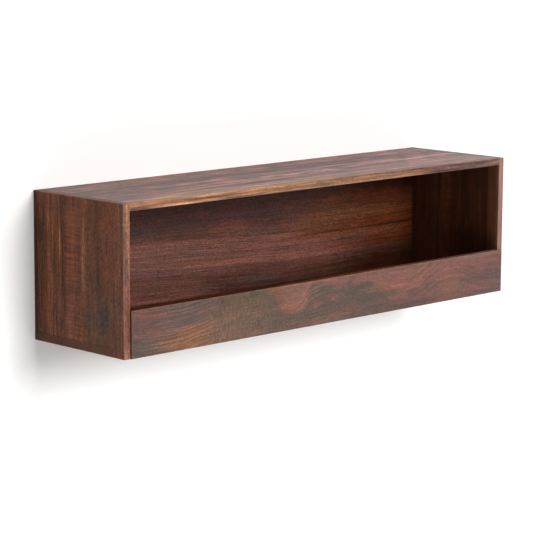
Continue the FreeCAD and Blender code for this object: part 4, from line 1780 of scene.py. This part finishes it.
BACK = {
    "lower": WoodFinish(
        "back_lower_wood", Lie.FACING, 151.9,
        (
            (12, Tone.CLAY), (24, Tone.CLAY), (36, Tone.MAUVE), (43, Tone.DUSK), (61, Tone.DUSK),
            (65, Tone.MAUVE), (70, Tone.MAUVE), (77, Tone.CLAY), (87, Tone.CLAY),
        ),
        (
            # BRICK here and the wide TAR on the next line darken the right end: partly the wood's own tone,
            # partly painted shade of the right side
            Patch(Tone.PLUM, 60, 48, 170, 28, 0.75, 0.3), Patch(Tone.BRICK, 440, 84, 240, 22, 1.0, 0.3),
            # The EMBER strips are painted shadow of the lip on the back, just above the lip's rear edge as
            # seen from the front
            Patch(Tone.TAR, 410, 36, 250, 50, 1.0, 0.2), Patch(Tone.EMBER, 0, 25, 560, 6.5, 1.0, 0.2),
            Patch(Tone.EMBER, -20, 34, 70, 10, 0.25, 0.4), Patch(Tone.ROSE, -130, 74, 150, 0.9, 0.6, 0.2),
            Patch(Tone.PLUM, -130, 71, 150, 0.8, 0.4, 0.2), Patch(Tone.TAR, 290, 81, 160, 1.2, 0.4, 0.3),
            Patch(Tone.SLATE, 40, 46, 60, 12, 0.6),
        ),
        tone_and_sheen_cast=(1.02, 1.1, 1.1), joint_shade=0.9, **BACK_FIGURE,
    ),
    "middle": WoodFinish(
        "back_middle_wood", Lie.FACING, 163.1,
        (
            (86, Tone.CLAY), (92, Tone.CLAY), (95.5, Tone.MAUVE), (98.5, Tone.MAUVE), (102, Tone.CLAY),
            (120, Tone.CLAY), (122, Tone.MAUVE), (124.5, Tone.DUSK), (134, Tone.DUSK), (143, Tone.SLOE),
            (157, Tone.PLUM),
        ),
        (
            Patch(Tone.CHESTNUT, 200, 128, 100, 34, 0.8, 0.8), Patch(Tone.TILE, -30, 142, 60, 14, 0.7, 1.4),
            # BRICK here and the wide TAR at 430 below darken the right end: partly the wood's own tone,
            # partly painted shade of the right side
            Patch(Tone.BRICK, 430, 118, 250, 60, 1.0, 0.3), Patch(Tone.SLOE, 95, 148, 44, 14, 0.8, 1.2),
            Patch(Tone.COPPER, 270, 137, 170, 12, 0.35, 0.8), Patch(Tone.COPPER, 260, 100, 160, 8, 0.2, 0.8),
            Patch(Tone.TAR, 400, 109, 300, 1.8, 0.9, 0.3), Patch(Tone.TAR, 430, 88, 160, 6, 0.4, 0.3),
            Patch(Tone.TAR, 310, 138, 150, 1.2, 0.5, 0.3), Patch(Tone.SLOE, -60, 110, 200, 1.0, 0.5, 0.3),
            Patch(Tone.ROSE, -60, 104, 200, 1.2, 0.5, 0.3),
        ),
        tone_and_sheen_cast=(0.98, 1.08, 1.1), joint_shade=0.92, **BACK_FIGURE,
    ),
    "upper": WoodFinish(
        "back_upper_wood", Lie.FACING, 171.7,
        ((156, Tone.SLOE), (166, Tone.PLUM), (182, Tone.COFFEE), (231, Tone.COFFEE)),
        (
            # BRICK and TAR at the right end: partly the wood's own tone, partly painted shade of the right
            # side and the top
            Patch(Tone.CHESTNUT, 215, 152, 60, 20, 0.8, 1.2), Patch(Tone.BRICK, 380, 156, 200, 34, 1.0, 0.8),
            Patch(Tone.TAR, 440, 194, 210, 32, 1.0, 0.5),
        ),
        gloss=0.2, roughness=0.5, mottle=0.2, flecks=0.4, streak_length=300.0, tone_and_sheen_cast=(1.1, 1.12, 1.3),
        joint_shade=0.92,
    ),
}

LIP = FlameFinish(
    "lip_wood", Lie.FACING, 183.3, (),
    (
        Patch(Tone.MAUVE, -400, 58, 40, 10, 0.5, 1.4), Patch(Tone.LODEN, -412, 22, 26, 16, 0.45),
        Patch(Tone.FERN, -345, 54, 50, 6, 0.5, 1.2), Patch(Tone.GINGER, -310, 27, 50, 14, 0.15, 0.6),
        Patch(Tone.GINGER, -325, 8, 46, 6, 0.4), Patch(Tone.ROSE, -90, 60, 28, 24, 0.7),
        Patch(Tone.SLATE, -88, 23, 30, 4, 0.8, 0.4), Patch(Tone.CLAY, -20, 4, 60, 6, 0.5),
        Patch(Tone.LODEN, 94, 26, 8, 13, 0.6, 0.5), Patch(Tone.LODEN, 82, 52, 30, 6, 0.45, 1.0),
        Patch(Tone.LODEN, -10, 60, 22, 5, 0.4, 1.0), Patch(Tone.CLAY, 10, 44, 26, 6, 0.5, 1.4),
        Patch(Tone.MAUVE, 50, 22, 36, 7, 0.6, 1.4), Patch(Tone.FERN, 150, 30, 34, 8, 0.6, 1.2),
        Patch(Tone.OLIVE, -180, 56, 50, 18, 0.4), Patch(Tone.COPPER, 300, 28, 30, 12, 0.3),
        Patch(Tone.MAUVE, 215, 18, 40, 10, 0.4), Patch(Tone.MAUVE, 350, 66, 90, 6, 0.5),
        Patch(Tone.MOSS, 335, 20, 8, 14, 0.6), Patch(Tone.DUSK, 290, 6, 70, 8, 0.5),
        Patch(Tone.FERN, 200, 8, 70, 9, 0.6, 1.2), Patch(Tone.CLAY, 112, 46, 30, 6, 0.6, 1.6),
        Patch(Tone.MAUVE, 110, 20, 40, 4, 0.5, 1.6), Patch(Tone.CLAY, -30, 36, 12, 12, 0.4, 1.6),
        # The LILAC strip at the top right is partly a painted highlight along the lip's upper arris
        Patch(Tone.ROSE, 30, 12, 50, 4, 0.4, 1.4), Patch(Tone.LILAC, 370, 73, 80, 5, 0.45, 0.6),
    ),
    crest=(
        (-438, 40), (-370, 33), (-270, 44), (-200, 55), (-140, 64), (-92, 24), (-42, 58), (0, 62), (100, 56),
        (180, 26), (250, 46), (310, 60), (380, 44), (447, 36),
    ),
    lines=(
        (-438, 0.4), (-370, 0.9), (-300, 1.0), (-262, 0.35), (-150, 0.15), (-115, 0.5), (-60, 0.8),
        (-20, 0.6), (30, 0.15), (120, 0.25), (170, 0.5), (260, 0.5), (447, 0.4),
    ),
    density=(
        (-438, 0.95), (-280, 1.0), (-40, 1.0), (60, 0.9), (160, 0.62), (447, 0.52),
    ),
    bars=(
        (-438, 0.3), (-290, 0.3), (-260, 1.0), (-145, 1.0), (-115, 0.4), (0, 0.3), (447, 0.3),
    ),
    above=(
        (-438, Tone.DUSK), (-400, Tone.DUSK), (-350, Tone.SLATE), (-290, Tone.SLATE), (-250, Tone.OLIVE),
        (-200, Tone.MOSS), (-150, Tone.MOSS), (-125, Tone.TILE), (-60, Tone.ROSE), (30, Tone.CLAY),
        (300, Tone.CLAY), (447, Tone.MAUVE),
    ),
    below=(
        (-438, Tone.FERN), (-410, Tone.SLATE), (-350, Tone.TAWNY), (-280, Tone.TAWNY), (-258, Tone.MOSS),
        (-200, Tone.MOSS), (-100, Tone.FERN), (105, Tone.FERN), (215, Tone.DUSK), (250, Tone.MAUVE),
        (300, Tone.CLAY), (360, Tone.MAUVE), (447, Tone.SLATE),
    ),
    # The top edge's tones: EMBER at the left end is painted shade, and the rose to the right is partly a
    # painted highlight
    top_edge_shade_and_highlight=(
        (-438, Tone.EMBER), (-100, Tone.EMBER), (0, Tone.CHESTNUT), (60, Tone.RUSSET), (130, Tone.ROSE),
        (447, Tone.ROSE),
    ),
    wear_and_glint=0.48, gloss=0.45, curl=0.28, curl_reach=11.0, streaks=0.12, mottle=0.16, fibres=0.2, flecks=0.24,
    tone_and_sheen_cast=(0.99, 1.05, 1.03),
)


def main() -> None:
    """Dress the boards, build the fittings and set up the studio."""
    logging.basicConfig(level=logging.INFO, format="%(name)s: %(message)s")
    Studio().build()
    panels = {"left_side": LEFT_SIDE, "right_side": RIGHT_SIDE, "top": TOP, "bottom": BOTTOM, "back": BACK}
    for name, finishes in panels.items():
        Panel(name, finishes).dress()
    Lip(LIP).dress()
    beech = BeechFinish("dowel_beech").material()
    for hand in Hand:
        Dowels(f"top_dowels_{hand.value}", Axis.Y, Axis.X, beech).build()
        Dowels(f"back_dowels_{hand.value}", Axis.Z, Axis.X, beech).build()
    Dowels("lip_dowels", Axis.X, Axis.Y, beech).build()
    Dowels("lip_pins_left", Axis.Z, Axis.X, beech, flutes=12).build()
    Dowels("lip_pins_right", Axis.Z, Axis.Y, beech, flutes=12).build()
    zinc = SteelFinish("screw_zinc", SteelKind.SCREW).material()
    for hand in Hand:
        Screws(
            f"bottom_screws_{hand.value}", Axis.Y, Axis.Z, sign=1, sink=0.0022, pitch=0.002, finish=zinc,
        ).build()
        Screws(
            f"hanger_screws_{hand.value}", Axis.Z, Axis.Y, sign=-1, sink=0.0013, pitch=0.0012, finish=zinc,
            point=0.002, recess_width=0.0008,
        ).build()
    Hangers(SteelFinish("hanger_zinc", SteelKind.PLATE).material()).dress()


if __name__ == "__main__":
    main()
